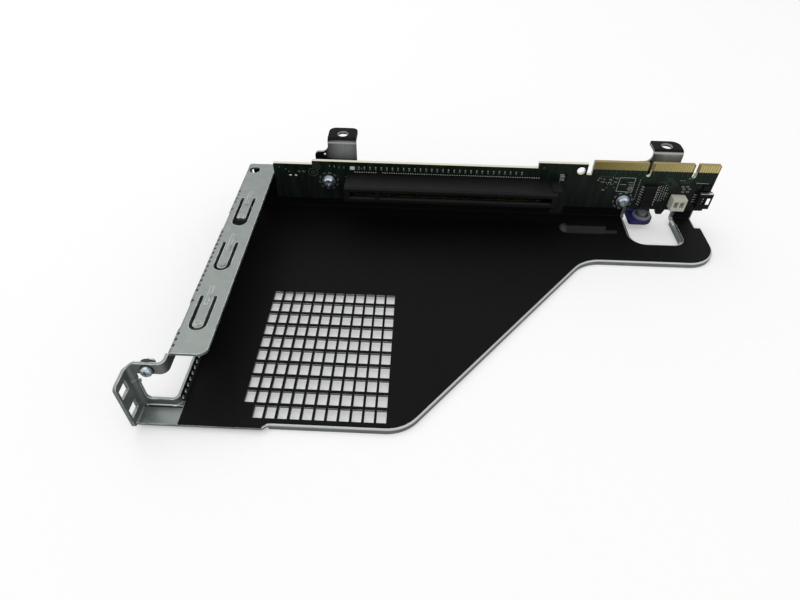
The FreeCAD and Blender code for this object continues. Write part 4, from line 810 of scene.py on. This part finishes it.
def floor():
    """A wide pale floor that looks white and keeps a soft shadow."""
    bpy.ops.mesh.primitive_plane_add(size=FLOOR_SIZE, location=(0.0, 0.0, 0.0))
    plane = bpy.context.object
    plane.name = "floor"
    material = bpy.data.materials.new("floor")
    material.use_nodes = True
    tree = material.node_tree
    tree.nodes.clear()
    out = tree.nodes.new("ShaderNodeOutputMaterial")
    matt = tree.nodes.new("ShaderNodeBsdfDiffuse")
    tree.links.new(seen_level(tree, FLOOR_COLOUR, FLOOR_COLOUR_SEEN, FLOOR_COLOUR), matt.inputs["Color"])
    glow = tree.nodes.new("ShaderNodeEmission")
    glow.inputs["Color"].default_value = (1.0, 1.0, 1.0, 1.0)
    tree.links.new(seen_level(tree, 0.0, FLOOR_GLOW_SEEN, FLOOR_GLOW_IN_GLOSS), glow.inputs["Strength"])
    both = tree.nodes.new("ShaderNodeAddShader")
    tree.links.new(matt.outputs[0], both.inputs[0])
    tree.links.new(glow.outputs[0], both.inputs[1])
    tree.links.new(both.outputs[0], out.inputs["Surface"])
    plane.data.materials.append(material)


def surround():
    """An even light from all sides that looks white to the camera and in gloss."""
    world = bpy.data.worlds.new("surround")
    scene.world = world
    world.use_nodes = True
    tree = world.node_tree
    tree.nodes.clear()
    out = tree.nodes.new("ShaderNodeOutputWorld")
    sky = tree.nodes.new("ShaderNodeBackground")
    sky.inputs["Color"].default_value = (1.0, 1.0, 1.0, 1.0)
    tree.links.new(seen_level(tree, WORLD_LEVEL, WORLD_SEEN, WORLD_IN_GLOSS), sky.inputs["Strength"])
    tree.links.new(sky.outputs[0], out.inputs["Surface"])


def seen_level(tree, plain, camera_level, gloss_level):
    """One strength for light on matt surfaces, one for the camera, one for gloss and glass."""
    path = tree.nodes.new("ShaderNodeLightPath")
    gloss = tree.nodes.new("ShaderNodeMath")
    gloss.operation = "MAXIMUM"
    tree.links.new(path.outputs["Is Glossy Ray"], gloss.inputs[0])
    tree.links.new(path.outputs["Is Transmission Ray"], gloss.inputs[1])
    first = tree.nodes.new("ShaderNodeMix")
    first.data_type = "FLOAT"
    first.inputs["A"].default_value = plain
    first.inputs["B"].default_value = gloss_level
    tree.links.new(gloss.outputs[0], first.inputs["Factor"])
    second = tree.nodes.new("ShaderNodeMix")
    second.data_type = "FLOAT"
    second.inputs["B"].default_value = camera_level
    tree.links.new(path.outputs["Is Camera Ray"], second.inputs["Factor"])
    tree.links.new(first.outputs["Result"], second.inputs["A"])
    return second.outputs["Result"]


def lamp(name, at, size, watts):
    """A soft rectangular lamp that faces the middle of the floor."""
    data = bpy.data.lights.new(name, "AREA")
    data.shape = "RECTANGLE"
    data.size, data.size_y = size
    data.energy = watts
    piece = bpy.data.objects.new(name, data)
    piece.location = at
    piece.rotation_euler = (-Vector(at)).to_track_quat("-Z", "Y").to_euler()
    scene.collection.objects.link(piece)


def camera():
    """The camera that was solved from the photograph."""
    data = bpy.data.cameras.new("camera")
    data.lens = CAMERA_LENS
    data.sensor_width = CAMERA_SENSOR
    data.clip_start = CAMERA_NEAREST
    piece = bpy.data.objects.new("camera", data)
    turn = (Matrix.Rotation(math.radians(CAMERA_YAW), 4, "Z")
            @ Matrix.Rotation(math.radians(90.0 - CAMERA_PITCH), 4, "X")
            @ Matrix.Rotation(math.radians(CAMERA_ROLL), 4, "Z"))
    piece.matrix_world = Matrix.Translation(CAMERA_AT) @ turn
    scene.collection.objects.link(piece)
    scene.camera = piece


scene.view_settings.view_transform = "Standard"
dress_nodes()
end_caps()
slot_leads()
board_print()
screw_pads()
solder_pads()
chip_surroundings()
wall_panel()
floor()
surround()
lamp("key", KEY_AT, KEY_SIZE, KEY_WATTS)
lamp("fill", FILL_AT, FILL_SIZE, FILL_WATTS)
camera()


def plain(box):
    return [[float(v) for v in corner] for corner in box]
